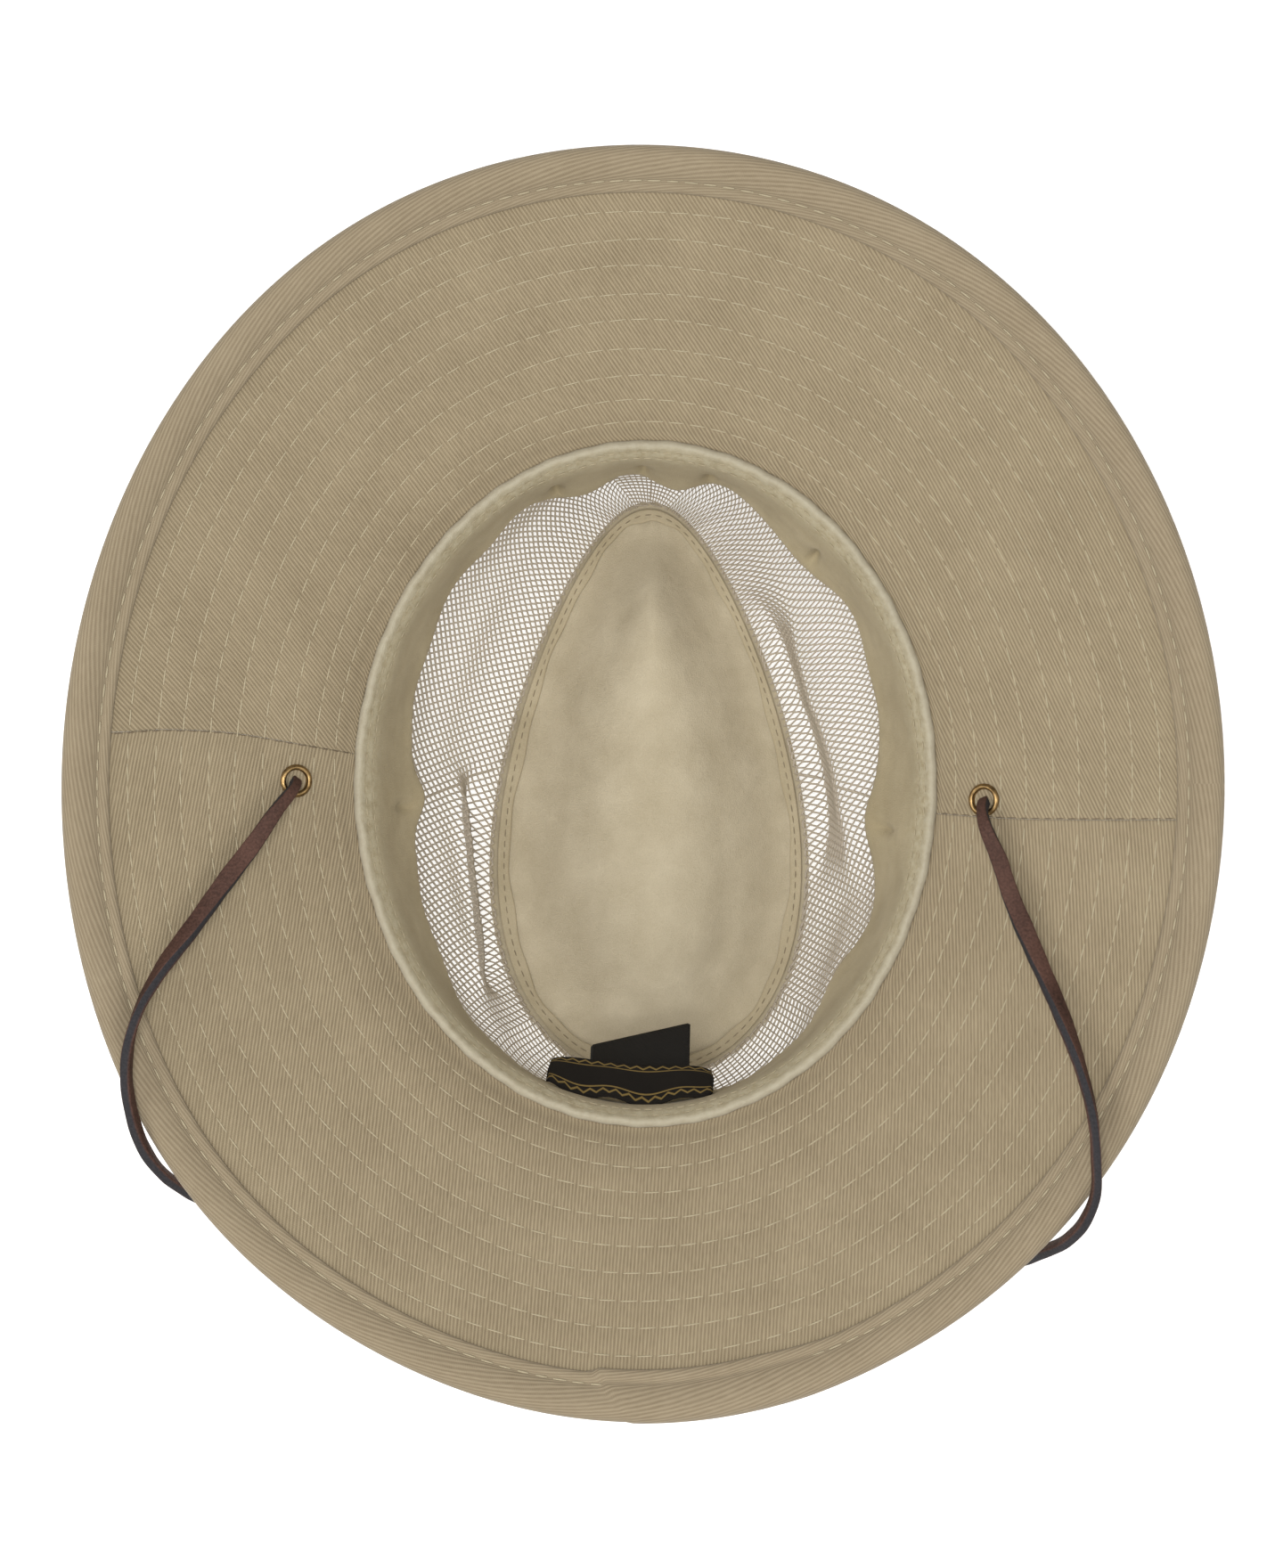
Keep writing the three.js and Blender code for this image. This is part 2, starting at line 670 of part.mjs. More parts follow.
const tabHalf = degreesWide(tabWidth) / 2;
const tabAngles = stepAngles(tabAngle - tabHalf, tabAngle + tabHalf, labelSteps, false);
add("care_tab", sweptWall(tabAngles.map((a) => tabSection(a, tabAngle))), wovenLabel);

const knotRadius = laceWidth;
const knotHeight = laceWidth * 0.75;
for (const eyelet of eyelets) {
  const { middle, axis, turn } = eyeletFrame(eyelet);
  const ringMesh = add(`eyelet_${eyelet.name}`, eyeletGeometry(), brass);
  ringMesh.position.copy(middle);
  ringMesh.quaternion.copy(turn);
  const below = brimThickness / 2 + seamGap * 2 + eyeletWall * 1.6 + knotHeight;
  const knot = add(`knot_${eyelet.name}`, knotGeometry(), laceLeather);
  knot.scale.set(knotRadius, knotRadius, knotHeight);
  knot.position.copy(middle).addScaledVector(axis, -below);
  knot.quaternion.copy(turn);
}

const laceCurve = new LaceCurve(laceRoute);
const laceOptions = { steps: laceSteps, bevelEnabled: false, extrudePath: laceCurve };
add("chin_lace", new THREE.ExtrudeGeometry(laceShape(), laceOptions), laceLeather);

export default hat;
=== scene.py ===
import math

import bpy
import numpy as np
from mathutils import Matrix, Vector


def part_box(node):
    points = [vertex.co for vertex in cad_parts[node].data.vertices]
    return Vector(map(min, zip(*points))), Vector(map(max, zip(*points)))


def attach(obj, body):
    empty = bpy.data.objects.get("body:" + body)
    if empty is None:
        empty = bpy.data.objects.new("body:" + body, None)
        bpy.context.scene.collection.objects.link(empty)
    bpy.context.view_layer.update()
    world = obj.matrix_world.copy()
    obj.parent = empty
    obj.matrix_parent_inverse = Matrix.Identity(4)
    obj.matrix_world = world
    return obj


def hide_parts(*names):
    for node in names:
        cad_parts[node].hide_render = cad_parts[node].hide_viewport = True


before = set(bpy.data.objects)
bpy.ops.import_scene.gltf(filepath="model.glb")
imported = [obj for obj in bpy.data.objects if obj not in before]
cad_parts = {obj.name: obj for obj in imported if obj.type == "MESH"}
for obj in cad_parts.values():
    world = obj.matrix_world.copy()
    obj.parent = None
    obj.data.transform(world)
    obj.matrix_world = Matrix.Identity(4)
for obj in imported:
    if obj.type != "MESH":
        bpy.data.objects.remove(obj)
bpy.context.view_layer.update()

# Camera and stage.
# The photograph looks straight into the upturned hat from about a metre and a half above its brim seam,
# leaning a little towards the hat's right side, against a plain white ground.
mm = 0.001
band_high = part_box("sweatband")[1]
sweatband_lip = 1.2 * mm
seam_height = band_high[2] - sweatband_lip
view_distance = 1.5
view_lean = math.radians(1.8)
view_height = 0.4551
sensor_height = 24
aim = (-0.001, -0.0001, seam_height)

bpy.ops.object.camera_add()
camera = bpy.context.object
camera.name = "camera"
camera.location = (
    aim[0] + view_distance * math.sin(view_lean),
    aim[1],
    aim[2] + view_distance * math.cos(view_lean),
)
camera.rotation_euler = (0, view_lean, 0)
camera.data.sensor_fit = "VERTICAL"
camera.data.sensor_height = sensor_height
camera.data.lens = sensor_height * view_distance / view_height
camera.data.clip_end = 20
bpy.context.scene.camera = camera

bpy.context.scene.view_settings.view_transform = "Standard"
bpy.context.scene.view_settings.look = "None"


def painted(name):
    """A new material, with its nodes, links and shader."""
    material = bpy.data.materials.new(name)
    material.use_nodes = True
    tree = material.node_tree
    return material, tree, tree.nodes["Principled BSDF"]


def node(tree, kind, inputs=None, **settings):
    """A new node with its settings, whose inputs are linked or filled in by name or number."""
    made = tree.nodes.new(kind)
    for key, value in settings.items():
        setattr(made, key, value)
    for key, value in (inputs or {}).items():
        if isinstance(value, bpy.types.NodeSocket):
            tree.links.new(value, made.inputs[key])
        else:
            made.inputs[key].default_value = value
    return made


def reckon(operation, *values):
    """The result of a sum on sockets and numbers, in the tree that the sockets belong to."""
    tree = next(value.id_data for value in values if isinstance(value, bpy.types.NodeSocket))
    return node(tree, "ShaderNodeMath", dict(enumerate(values)), operation=operation).outputs[0]


def weighed(*terms):
    """The sum of sockets, each times its weight."""
    total = None
    for socket, weight in terms:
        part = reckon("MULTIPLY", socket, weight)
        total = part if total is None else reckon("ADD", total, part)
    return total


def wave(phase):
    """A sine wave on a socket, from 0 to 1."""
    return reckon("MULTIPLY_ADD", reckon("SINE", phase), 0.5, 0.5)


def blend(share, first, second):
    """One colour turned into another by a share."""
    inputs = {0: share, 6: first, 7: second}
    return node(share.id_data, "ShaderNodeMix", inputs, data_type="RGBA").outputs[2]


def coloured(shader, share, dark, light):
    """Gives the shader a colour from dark to light, by a share."""
    shader.id_data.links.new(blend(share, dark, light), shader.inputs["Base Color"])


def constants(shader, values):
    """Sets constant values on a shader's own sockets."""
    for name, value in values.items():
        shader.inputs[name].default_value = value


def spread(value, low, high, to_low=0.0, to_high=1.0):
    """A value stretched from one range to another, and held there."""
    inputs = {0: value, 1: low, 2: high, 3: to_low, 4: to_high}
    return node(value.id_data, "ShaderNodeMapRange", inputs).outputs[0]


def speckle(where, scale, detail=3.0, roughness=0.5):
    """Noise on a socket's coordinates."""
    inputs = {"Vector": where, "Scale": scale, "Detail": detail, "Roughness": roughness}
    return node(where.id_data, "ShaderNodeTexNoise", inputs).outputs["Fac"]


def coordinates(tree, kind="Object"):
    """A piece's own coordinates, or its map."""
    return node(tree, "ShaderNodeTexCoord").outputs[kind]


def channel(socket, axis):
    """One of a socket's three numbers."""
    return node(socket.id_data, "ShaderNodeSeparateXYZ", {0: socket}).outputs[axis]


def bumped(shader, height, distance, strength=1.0):
    """Relief on a shader, from a height and the distance that it stands for."""
    inputs = {"Height": height, "Distance": distance, "Strength": strength}
    relief = node(shader.id_data, "ShaderNodeBump", inputs)
    shader.id_data.links.new(relief.outputs[0], shader.inputs["Normal"])


floor_gap = 0.6 * mm
bpy.ops.object.select_all(action="DESELECT")
bpy.ops.mesh.primitive_plane_add(size=8, location=(0, 0, -floor_gap))
floor = bpy.context.object
floor.name = "floor"
floor_paint, tree, shader = painted("pale_floor")
constants(shader, {"Base Color": (0.93, 0.93, 0.925, 1), "Roughness": 0.9, "Specular IOR Level": 0.1})
constants(shader, {"Emission Color": (1, 1, 1, 1), "Emission Strength": 0.42})
floor.data.materials.append(floor_paint)

world = bpy.data.worlds.new("studio")
bpy.context.scene.world = world
world.use_nodes = True
constants(world.node_tree.nodes["Background"], {"Color": (1, 1, 1, 1), "Strength": 0.32})

softboxes = [
    {"name": "left_softbox", "at": (-1.5, 0, 1.5), "size": 1.3, "power": 13},
    {"name": "right_softbox", "at": (1.5, 0, 1.6), "size": 1.3, "power": 7.5},
    {"name": "back_softbox", "at": (0, -1.5, 1.7), "size": 1.3, "power": 11.5},
    {"name": "top_softbox", "at": (-0.1, 0, 2.2), "size": 0.8, "power": 26},
]
for box in softboxes:
    bpy.ops.object.light_add(type="AREA", location=box["at"])
    lamp = bpy.context.object
    lamp.name = box["name"]
    lamp.data.size = box["size"]
    lamp.data.energy = box["power"]
    reach = math.hypot(box["at"][0], box["at"][1])
    lamp.rotation_euler = (
        math.atan2(reach, box["at"][2] - seam_height),
        0,
        math.atan2(box["at"][0], -box["at"][1]),
    )

# Chin lace.
# One flat lace of dark brown suede, cut with dark edges. It is knotted behind each eyelet, arches over the
# brim on its edge and hangs under the back of the brim to lie loosely on the ground.
lace_width = 5 * mm
lace_thickness = 2.8 * mm
# It is rolled up where it goes through the eyelets: the share of its width there, and how far from its ends
lace_rolled_share = 0.56
lace_rolled_reach = (9 * mm, 26 * mm)
# The points of the lace's middle line in mm, and the way that its broad face looks there
lace_route = [
    (-101.2, 1.2, 117.2, 0.6, 0.8, -0.1), (-101, 0.8, 118.9, 0.6, 0.8, -0.1),
    (-100.6, 0.3, 121.1, 0.6, 0.8, 0), (-100.5, -0.6, 123.5, 0.7, 0.6, 0.3),
    (-101, -1.9, 125.9, 0.6, 0.3, 0.6), (-102.2, -3.7, 127.9, 0.5, 0, 0.9),
    (-103.8, -5.8, 129.3, 0.4, -0.1, 0.9), (-105.8, -8.6, 130.2, 0.3, 0, 1),
    (-110.8, -16.2, 132, 0.1, 0, 1), (-118.4, -26.8, 135.8, -0.1, 0.1, 1),
    (-128.1, -40.9, 140.8, -0.4, 0.3, 0.8), (-136.8, -53.4, 145.6, -0.7, 0.4, 0.5),
    (-142.4, -64.4, 149.4, -0.9, 0.3, 0.2), (-144.9, -73.6, 151.4, -1, 0.2, 0),
    (-145.6, -82.7, 151.8, -1, -0.1, -0.1), (-144.4, -93, 150, -0.9, -0.2, -0.2),
    (-141.8, -102.8, 145.6, -0.8, -0.4, -0.2), (-137.2, -111, 138.8, -0.7, -0.6, -0.1),
    (-131.6, -116.6, 129.6, -0.7, -0.7, -0.1), (-126.6, -121, 116, -0.6, -0.8, 0),
    (-122, -125.4, 96, -0.6, -0.8, 0), (-118.4, -129.4, 70, -0.6, -0.8, 0),
    (-115.4, -132.8, 44, -0.6, -0.8, 0), (-110.8, -136.8, 20, -0.5, -0.8, -0.3),
    (-102, -141.6, 6, -0.1, -0.4, -0.9), (-88, -146.2, 2, 0, 0, -1),
    (-68, -149.8, 1.7, 0, 0, -1), (-40, -150.6, 1.7, 0, 0, -1),
    (-8, -148.4, 1.7, 0, 0, -1), (24, -148.6, 1.7, 0, 0, -1),
    (52, -151.6, 1.7, 0, 0, -1), (74, -153.4, 2, 0, 0, -1),
    (88, -152.4, 6, 0.1, -0.3, -0.9), (97, -149.6, 20, 0.4, -0.8, -0.3),
    (101.4, -146.8, 44, 0.4, -0.9, 0), (104, -143.8, 70, 0.4, -0.9, 0),
    (106.6, -140.4, 96, 0.5, -0.8, 0), (109.8, -137, 116, 0.6, -0.8, 0),
    (115, -133.6, 129.6, 0.6, -0.8, -0.1), (120.8, -129.6, 139, 0.7, -0.7, -0.2),
    (125.4, -123.6, 146.4, 0.8, -0.5, -0.2), (128.2, -115.4, 151.2, 0.9, -0.3, -0.1),
    (128.2, -105.4, 152.6, 1, -0.1, 0), (127.4, -94, 150.6, 1, 0.2, 0.1),
    (124.3, -80.7, 146.2, 0.9, 0.2, 0.3), (119.2, -65.8, 141, 0.7, 0.2, 0.6),
    (111.6, -47.7, 135.2, 0.4, 0.1, 0.9), (105, -31.5, 131.2, 0, 0.1, 1),
    (101.4, -20.4, 128.4, -0.1, 0.1, 1), (99, -14.9, 127.5, -0.2, 0, 1),
    (98, -12.2, 126.9, -0.2, 0, 1), (97.5, -10.1, 125.9, -0.4, 0.2, 0.9),
    (97.3, -8.3, 124.4, -0.4, 0.5, 0.7), (97.4, -6.6, 122.2, -0.4, 0.8, 0.3),
    (97.9, -5.5, 119.9, -0.4, 0.9, 0), (98.4, -4.8, 117.8, -0.4, 0.9, 0),
    (98.8, -4.2, 116.3, -0.4, 0.9, 0),
]


def unit(vectors):
    """Vectors brought to length one."""
    return vectors / np.linalg.norm(vectors, axis=-1, keepdims=True)


def reached(line):
    """How far along a line of points each of them lies."""
    return np.concatenate([[0], np.cumsum(np.linalg.norm(np.diff(line, axis=0), axis=1))])


def smooth_line(values, knots, at):
    """A smooth line through numbers or points that stand at rising knots, read at places among them."""
    slopes = np.gradient(values, knots, axis=0)
    k = np.clip(np.searchsorted(knots, at, side="right") - 1, 0, len(knots) - 2)
    span = knots[k + 1] - knots[k]
    t = (at - knots[k]) / span
    if values.ndim > 1:
        span, t = span[:, None], t[:, None]
    start = (2 * t**3 - 3 * t**2 + 1) * values[k] + (t**3 - 2 * t**2 + t) * span * slopes[k]
    return start + (3 * t**2 - 2 * t**3) * values[k + 1] + (t**3 - t**2) * span * slopes[k + 1]


def laid_grid(name, columns, rows, place):
    """A grid laid on a form: place gives its points for arrays of u and v from 0 to 1. Equal ones merge."""
    bpy.ops.object.select_all(action="DESELECT")
    bpy.ops.mesh.primitive_grid_add(x_subdivisions=columns, y_subdivisions=rows, size=1)
    piece = bpy.context.object
    piece.name = name
    mesh = piece.data
    corners = np.empty(len(mesh.vertices) * 3)
    mesh.vertices.foreach_get("co", corners)
    corners = corners.reshape(-1, 3)
    u = np.clip(np.round((corners[:, 0] + 0.5) * columns) / columns, 0, 1)
    v = np.clip(np.round((corners[:, 1] + 0.5) * rows) / rows, 0, 1)
    mesh.vertices.foreach_set("co", place(u, v).ravel())
    mesh.update()
    bpy.ops.object.mode_set(mode="EDIT")
    bpy.ops.mesh.select_all(action="SELECT")
    bpy.ops.mesh.remove_doubles(threshold=1e-6)
    bpy.ops.mesh.normals_make_consistent(inside=False)
    bpy.ops.object.mode_set(mode="OBJECT")
    bpy.ops.object.shade_smooth()
    return piece


def finished(piece, paint, slot, *nodes):
    """Gives a piece its material and its place in the frame."""
    piece.data.materials.clear()
    piece.data.materials.append(paint)
    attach(piece, "root")
    if nodes:
        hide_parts(*nodes)
    return piece


lace_points = np.array(lace_route)[:, :3] * mm
lace_faces = unit(np.array(lace_route)[:, 3:])
lace_knots = reached(lace_points)
lace_shares = np.linspace(0, 1, 421)
lace_last = len(lace_shares) - 1
lace_line = smooth_line(lace_points, lace_knots, lace_shares * lace_knots[-1])
lace_tangent = unit(np.gradient(lace_line, axis=0))
lace_face = smooth_line(lace_faces, lace_knots, lace_shares * lace_knots[-1])
lace_across = unit(np.cross(lace_face, lace_tangent))
lace_up = np.cross(lace_tangent, lace_across)
lace_length = float(reached(lace_line)[-1])

# The lace's section is a rounded rectangle
lace_corner = 0.55 * mm
lace_sides = 16
lace_section = []
for turn in range(lace_sides):
    angle = 2 * math.pi * (turn + 0.5) / lace_sides
    flat_x = math.copysign(lace_width / 2 - lace_corner, math.cos(angle))
    flat_y = math.copysign(lace_thickness / 2 - lace_corner, math.sin(angle))
    lace_section.append((flat_x + lace_corner * math.cos(angle), flat_y + lace_corner * math.sin(angle)))
lace_section = np.array(lace_section + lace_section[:1])


def lace_surface(u, v):
    k = np.round(v * lace_last).astype(int)
    corner = lace_section[np.round(u * lace_sides).astype(int)]
    taper = np.where((k == 0) | (k == lace_last), 0.0, 1.0)[:, None]
    ripple = 1 + 0.03 * np.sin(k * 0.37) + 0.02 * np.sin(k * 1.13 + 1)
    from_end = lace_shares[np.minimum(k, lace_last - k)] * lace_length
    rolled = np.interp(from_end, lace_rolled_reach, [lace_rolled_share, 1])
    side = lace_across[k] * (corner[:, 0] * rolled)[:, None] + lace_up[k] * corner[:, 1:]
    return lace_line[k] + side * taper * ripple[:, None]


chin_lace = laid_grid("chin_lace_suede", lace_sides, lace_last, lace_surface)
suede, tree, shader = painted("lace_suede")
round_lace = channel(coordinates(tree, "UV"), "X")
turned = reckon("COSINE", reckon("MULTIPLY", round_lace, 4 * math.pi))
edge_share = spread(turned, 0.6, 0.85)
where = coordinates(tree)
nap = speckle(where, 1400, 4)
patches = speckle(where, 70, 3)
suede_dark = (0.028, 0.013, 0.009, 1)
suede_light = (0.115, 0.056, 0.04, 1)
edge_dark = (0.012, 0.011, 0.012, 1)
edge_light = (0.045, 0.042, 0.046, 1)
worn = weighed((nap, 0.5), (patches, 0.5))
face_paint = blend(spread(worn, 0.3, 0.7), suede_dark, suede_light)
edge_paint = blend(nap, edge_dark, edge_light)
coloured(shader, edge_share, face_paint, edge_paint)
constants(shader, {"Roughness": 0.75, "Specular IOR Level": 0.25})
bumped(shader, nap, 0.25 * mm, 0.8)
finished(chin_lace, suede, "lace_leather", "chin_lace")

# Knots.
# Each end of the lace is tied in a plain knot behind its eyelet, on the outer face of the brim.
# The knot is too big for the eyelet, so it carries the lace.
knot_strand = 1.35 * mm
knot_half_width = 4.9 * mm
knot_half_height = 3.7 * mm
knot_steps = 72
knot_sides = 10
trefoil_size = np.array([3, 3, 1.15])


def knot_surface(middle, axis):
    """A trefoil of lace, flattened against the eyelet, as a function of the place along it and round it."""
    turn = np.linspace(0, 2 * math.pi, knot_steps + 1)
    loop = np.stack([
        (2 + np.cos(3 * turn)) * np.cos(2 * turn),
        (2 + np.cos(3 * turn)) * np.sin(2 * turn),
        trefoil_size[2] * np.sin(3 * turn),
    ], axis=1)
    loop *= (np.array([knot_half_width, knot_half_width, knot_half_height]) - knot_strand) / trefoil_size
    side = unit(np.cross(axis, [0, 1, 0]))
    frame_axes = np.stack([side, np.cross(axis, side), axis])
    line = loop @ frame_axes + middle
    along = unit(np.roll(line[:-1], -1, axis=0) - np.roll(line[:-1], 1, axis=0))
    along = np.concatenate([along, along[:1]])
    outwards = unit(np.cross(along, np.broadcast_to(axis, along.shape)))
    upwards = np.cross(outwards, along)

    def place(u, v):
        k = np.round(v * knot_steps).astype(int)
        angle = 2 * math.pi * u[:, None]
        ring = outwards[k] * np.cos(angle) * 1.25 + upwards[k] * np.sin(angle) * 0.85
        return line[k] + ring * knot_strand

    return place


# The way that each eyelet faces
eyelet_axes = {"left": (0.406, -0.003, 0.914), "right": (-0.406, 0.014, 0.914)}
for side_name, axis in eyelet_axes.items():
    low, high = (np.array(corner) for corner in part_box(f"knot_{side_name}"))
    place = knot_surface((low + high) / 2, unit(np.array(axis)))
    knot = laid_grid(f"knot_{side_name}_suede", knot_sides, knot_steps, place)
    finished(knot, suede, "lace_leather", f"knot_{side_name}")

# Brim panels.
# Two half rings of khaki cotton twill, each two plies with a stiffener between them, quilted together in
# nine rows. They are sewn to each other at the sides, and to the sweatband and the net at the head opening.
brim_edge_x = band_high[0] + 0.3 * mm
brim_edge_y = band_high[1] + 0.3 * mm
brim_width = 88 * mm
brim_slope = math.radians(24)
brim_run = brim_width * math.cos(brim_slope)
brim_rise = brim_width * math.sin(brim_slope)
brim_thickness = 2 * mm
panel_gap = 0.004
brim_bound_share = 0.87
brim_fold_share = 0.965
right_seam, left_seam = -5, 175
seam_bow_reach = 14
# How many degrees each side seam is drawn aside, at shares of the brim's run
seam_bows = [
    (left_seam, np.array([(0, 0), (0.2, -0.72), (0.43, -1.25), (0.65, -0.88), (0.86, 0), (1, 0)])),
    (right_seam, np.array([(0, 0), (0.25, 0.2), (0.5, 0.75), (0.7, 1.2), (0.86, 1.5), (1, 1.5)])),
]
# The brim's rise at shares of its run
brim_sections = np.array([
    (0, 0), (0.02, 0.004), (0.06, 0.09), (0.14, 0.21), (0.3, 0.37), (0.52, 0.572), (0.76, 0.79), (1, 1),
])
# Where the brim is cut fuller: place round the hat, width in degrees, and by what share
brim_fullness = [(62, 34, 0.018), (122, 28, 0.03), (218, 24, 0.034), (268, 26, 0.016), (322, 24, 0.012)]
# The rows of quilting, at shares of the run, how deep they press and how wide
quilt_rows = np.array([0.0765, 0.146, 0.23, 0.32, 0.417, 0.507, 0.6, 0.689, 0.782])
quilt_press = 0.16 * mm
quilt_reach = 0.006


def bell(value, middle, reach):
    """A bell curve that is 1 at the middle, and has fallen to about a third at its reach."""
    return np.exp(-(((value - middle) / reach) ** 2))


def nearness(around, centre, reach):
    """How near a place round the hat is to another, from 0 to 1, in degrees."""
    return bell((around - centre + 180) % 360 - 180, 0, reach)


def through(table, column, share):
    """A smooth line through a table's column, read at shares of its first one."""
    knots = table[:, 0]
    return smooth_line(table[:, column], knots, np.clip(share, knots[0], knots[-1]))


def seam_bow(around, share):
    """How many degrees the cloth is drawn towards the front, most of all along the side seams."""
    return sum(nearness(around, seam, seam_bow_reach) * through(table, 1, share) for seam, table in seam_bows)


def brim_middle(around, share):
    """The brim's middle surface, for degrees round the hat and shares of its run outwards."""
    angle = np.radians(around)
    fullness = 1 + sum(more * nearness(around, centre, wide) for centre, wide, more in brim_fullness)
    out = brim_run * share * fullness
    up = brim_rise * through(brim_sections, 1, share)
    return np.stack([
        (brim_edge_x + out) * np.cos(angle),
        (brim_edge_y + out) * np.sin(angle),
        seam_height - brim_thickness / 2 + up,
    ], axis=1)


def facing(surface, around, share, small=0.004):
    """The upward or inward normal of a surface, by small steps along and across it."""
    along = surface(around + 0.05, share) - surface(around - 0.05, share)
    across = surface(around, np.minimum(share + small, 1)) - surface(around, np.maximum(share - small, 0))
    return unit(np.cross(across, along))


def brim_face(around, share, side, plump=1.0):
    """A face of the quilted brim, pressed in along each row of stitches."""
    press = sum(bell(share, row, quilt_reach) for row in quilt_rows)
    lift = (brim_thickness / 2 - quilt_press * press) * plump
    return brim_middle(around, share) + facing(brim_middle, around, share) * (side * lift)[:, None]


row_offsets = (-0.0125, -0.005, 0, 0.005, 0.0125)
brim_shares = [0, 0.004, 0.012, 0.03, 0.05]
for row, next_row in zip(quilt_rows, [*quilt_rows[1:], brim_bound_share]):
    brim_shares += [row + offset for offset in row_offsets] + [(row + next_row) / 2]
brim_shares = np.array(brim_shares + [brim_bound_share, 0.92, brim_fold_share])
brim_columns = 240


def there_and_back(v, last, gap=1):
    """The row, and the face as 1 or -1, of a grid that runs down one face and back up the other.
    Where gap is 1, the last row is there twice, once for each face."""
    line = np.round(v * (2 * last + gap)).astype(int)
    first_face = line <= last
    return np.where(first_face, line, 2 * last + gap - line), np.where(first_face, 1.0, -1.0)


def brim_panel(start, end):
    """The angles of a panel's columns, closer together at its two sewn ends."""
    first = start + panel_gap
    last = end - panel_gap
    ends = np.array([0, 0.01, 0.25])
    inner = np.linspace(first + 1.2, last - 1.2, brim_columns + 1 - 2 * len(ends))
    return np.concatenate([first + ends, inner, (last - ends)[::-1]])


def flat_cloth(start, around, share):
    """Where a place on a panel lay in the flat cloth that it was cut from, in metres."""
    fine = np.linspace(start - 2, start + 184, 745)
    angle = np.radians(fine)
    edge = np.stack([brim_edge_x * np.cos(angle), brim_edge_y * np.sin(angle)], axis=1)
    heading = np.unwrap(np.arctan2(np.gradient(edge[:, 1]), np.gradient(edge[:, 0])))
    steps = np.linalg.norm(np.diff(edge, axis=0), axis=1)
    flat_heading = heading * math.cos(brim_slope)
    between = (flat_heading[1:] + flat_heading[:-1]) / 2
    flat_x = np.concatenate([[0], np.cumsum(steps * np.cos(between))])
    flat_y = np.concatenate([[0], np.cumsum(steps * np.sin(between))])
    turned_by = np.interp(around, fine, flat_heading)
    real_heading = np.interp(around, fine, heading)
    out = brim_run * share
    angle = np.radians(around)
    outwards = out * np.sin(real_heading - angle) / math.cos(brim_slope)
    sideways = out * np.cos(real_heading - angle)
    x = np.interp(around, fine, flat_x) + outwards * np.sin(turned_by) + sideways * np.cos(turned_by)
    y = np.interp(around, fine, flat_y) - outwards * np.cos(turned_by) + sideways * np.sin(turned_by)
    return x, y


def cloth_map(piece, flat):
    """Adds the map that the weave follows: flat gives places in the cloth for the grid's u and v."""
    mesh = piece.data
    loops = np.empty(len(mesh.loops) * 2)
    mesh.uv_layers[0].data.foreach_get("uv", loops)
    loops = loops.reshape(-1, 2)
    x, y = flat(loops[:, 0], loops[:, 1])
    cloth = mesh.uv_layers.new(name="cloth")
    cloth.data.foreach_set("uv", np.stack([x, y], axis=1).ravel())
    mesh.uv_layers.active = cloth


def twill_paint(name, dark, light, lines_turned, pitch, relief):
    """Cotton twill: raised slanting lines, turned from the cloth map's x axis, with uneven yarns."""
    material, tree, shader = painted(name)
    cloth = node(tree, "ShaderNodeUVMap", uv_map="cloth").outputs[0]
    turned = node(tree, "ShaderNodeMapping", {"Vector": cloth, "Rotation": (0, 0, -lines_turned)}).outputs[0]
    along, across = channel(turned, "X"), channel(turned, "Y")
    drawn_out = {0: reckon("MULTIPLY", along, 0.12), 1: across}
    long_way = node(tree, "ShaderNodeCombineXYZ", drawn_out).outputs[0]
    waver = reckon("MULTIPLY", reckon("SUBTRACT", speckle(long_way, 900, 2), 0.5), 2.6)
    phase = reckon("MULTIPLY_ADD", across, 2 * math.pi / pitch, waver)
    lines = wave(phase)
    slubs = speckle(long_way, 2600, 3, 0.6)
    yarns = reckon("MULTIPLY", along, 2 * math.pi / (pitch * 0.55))
    pips = wave(reckon("ADD", yarns, phase))
    fuzz = speckle(cloth, 5200, 2)
    mottle = speckle(cloth, 45, 4, 0.6)
    tone = weighed((lines, 0.42), (slubs, 0.5), (pips, 0.1), (fuzz, 0.16), (mottle, 0.34))
    coloured(shader, spread(tone, 0.32, 1.12), dark, light)
    constants(shader, {"Roughness": 0.92, "Specular IOR Level": 0.15})
    constants(shader, {"Sheen Weight": 0.12, "Sheen Roughness": 0.5})
    bumped(shader, weighed((lines, 0.7), (pips, 0.18), (slubs, 0.3)), relief)
    return material


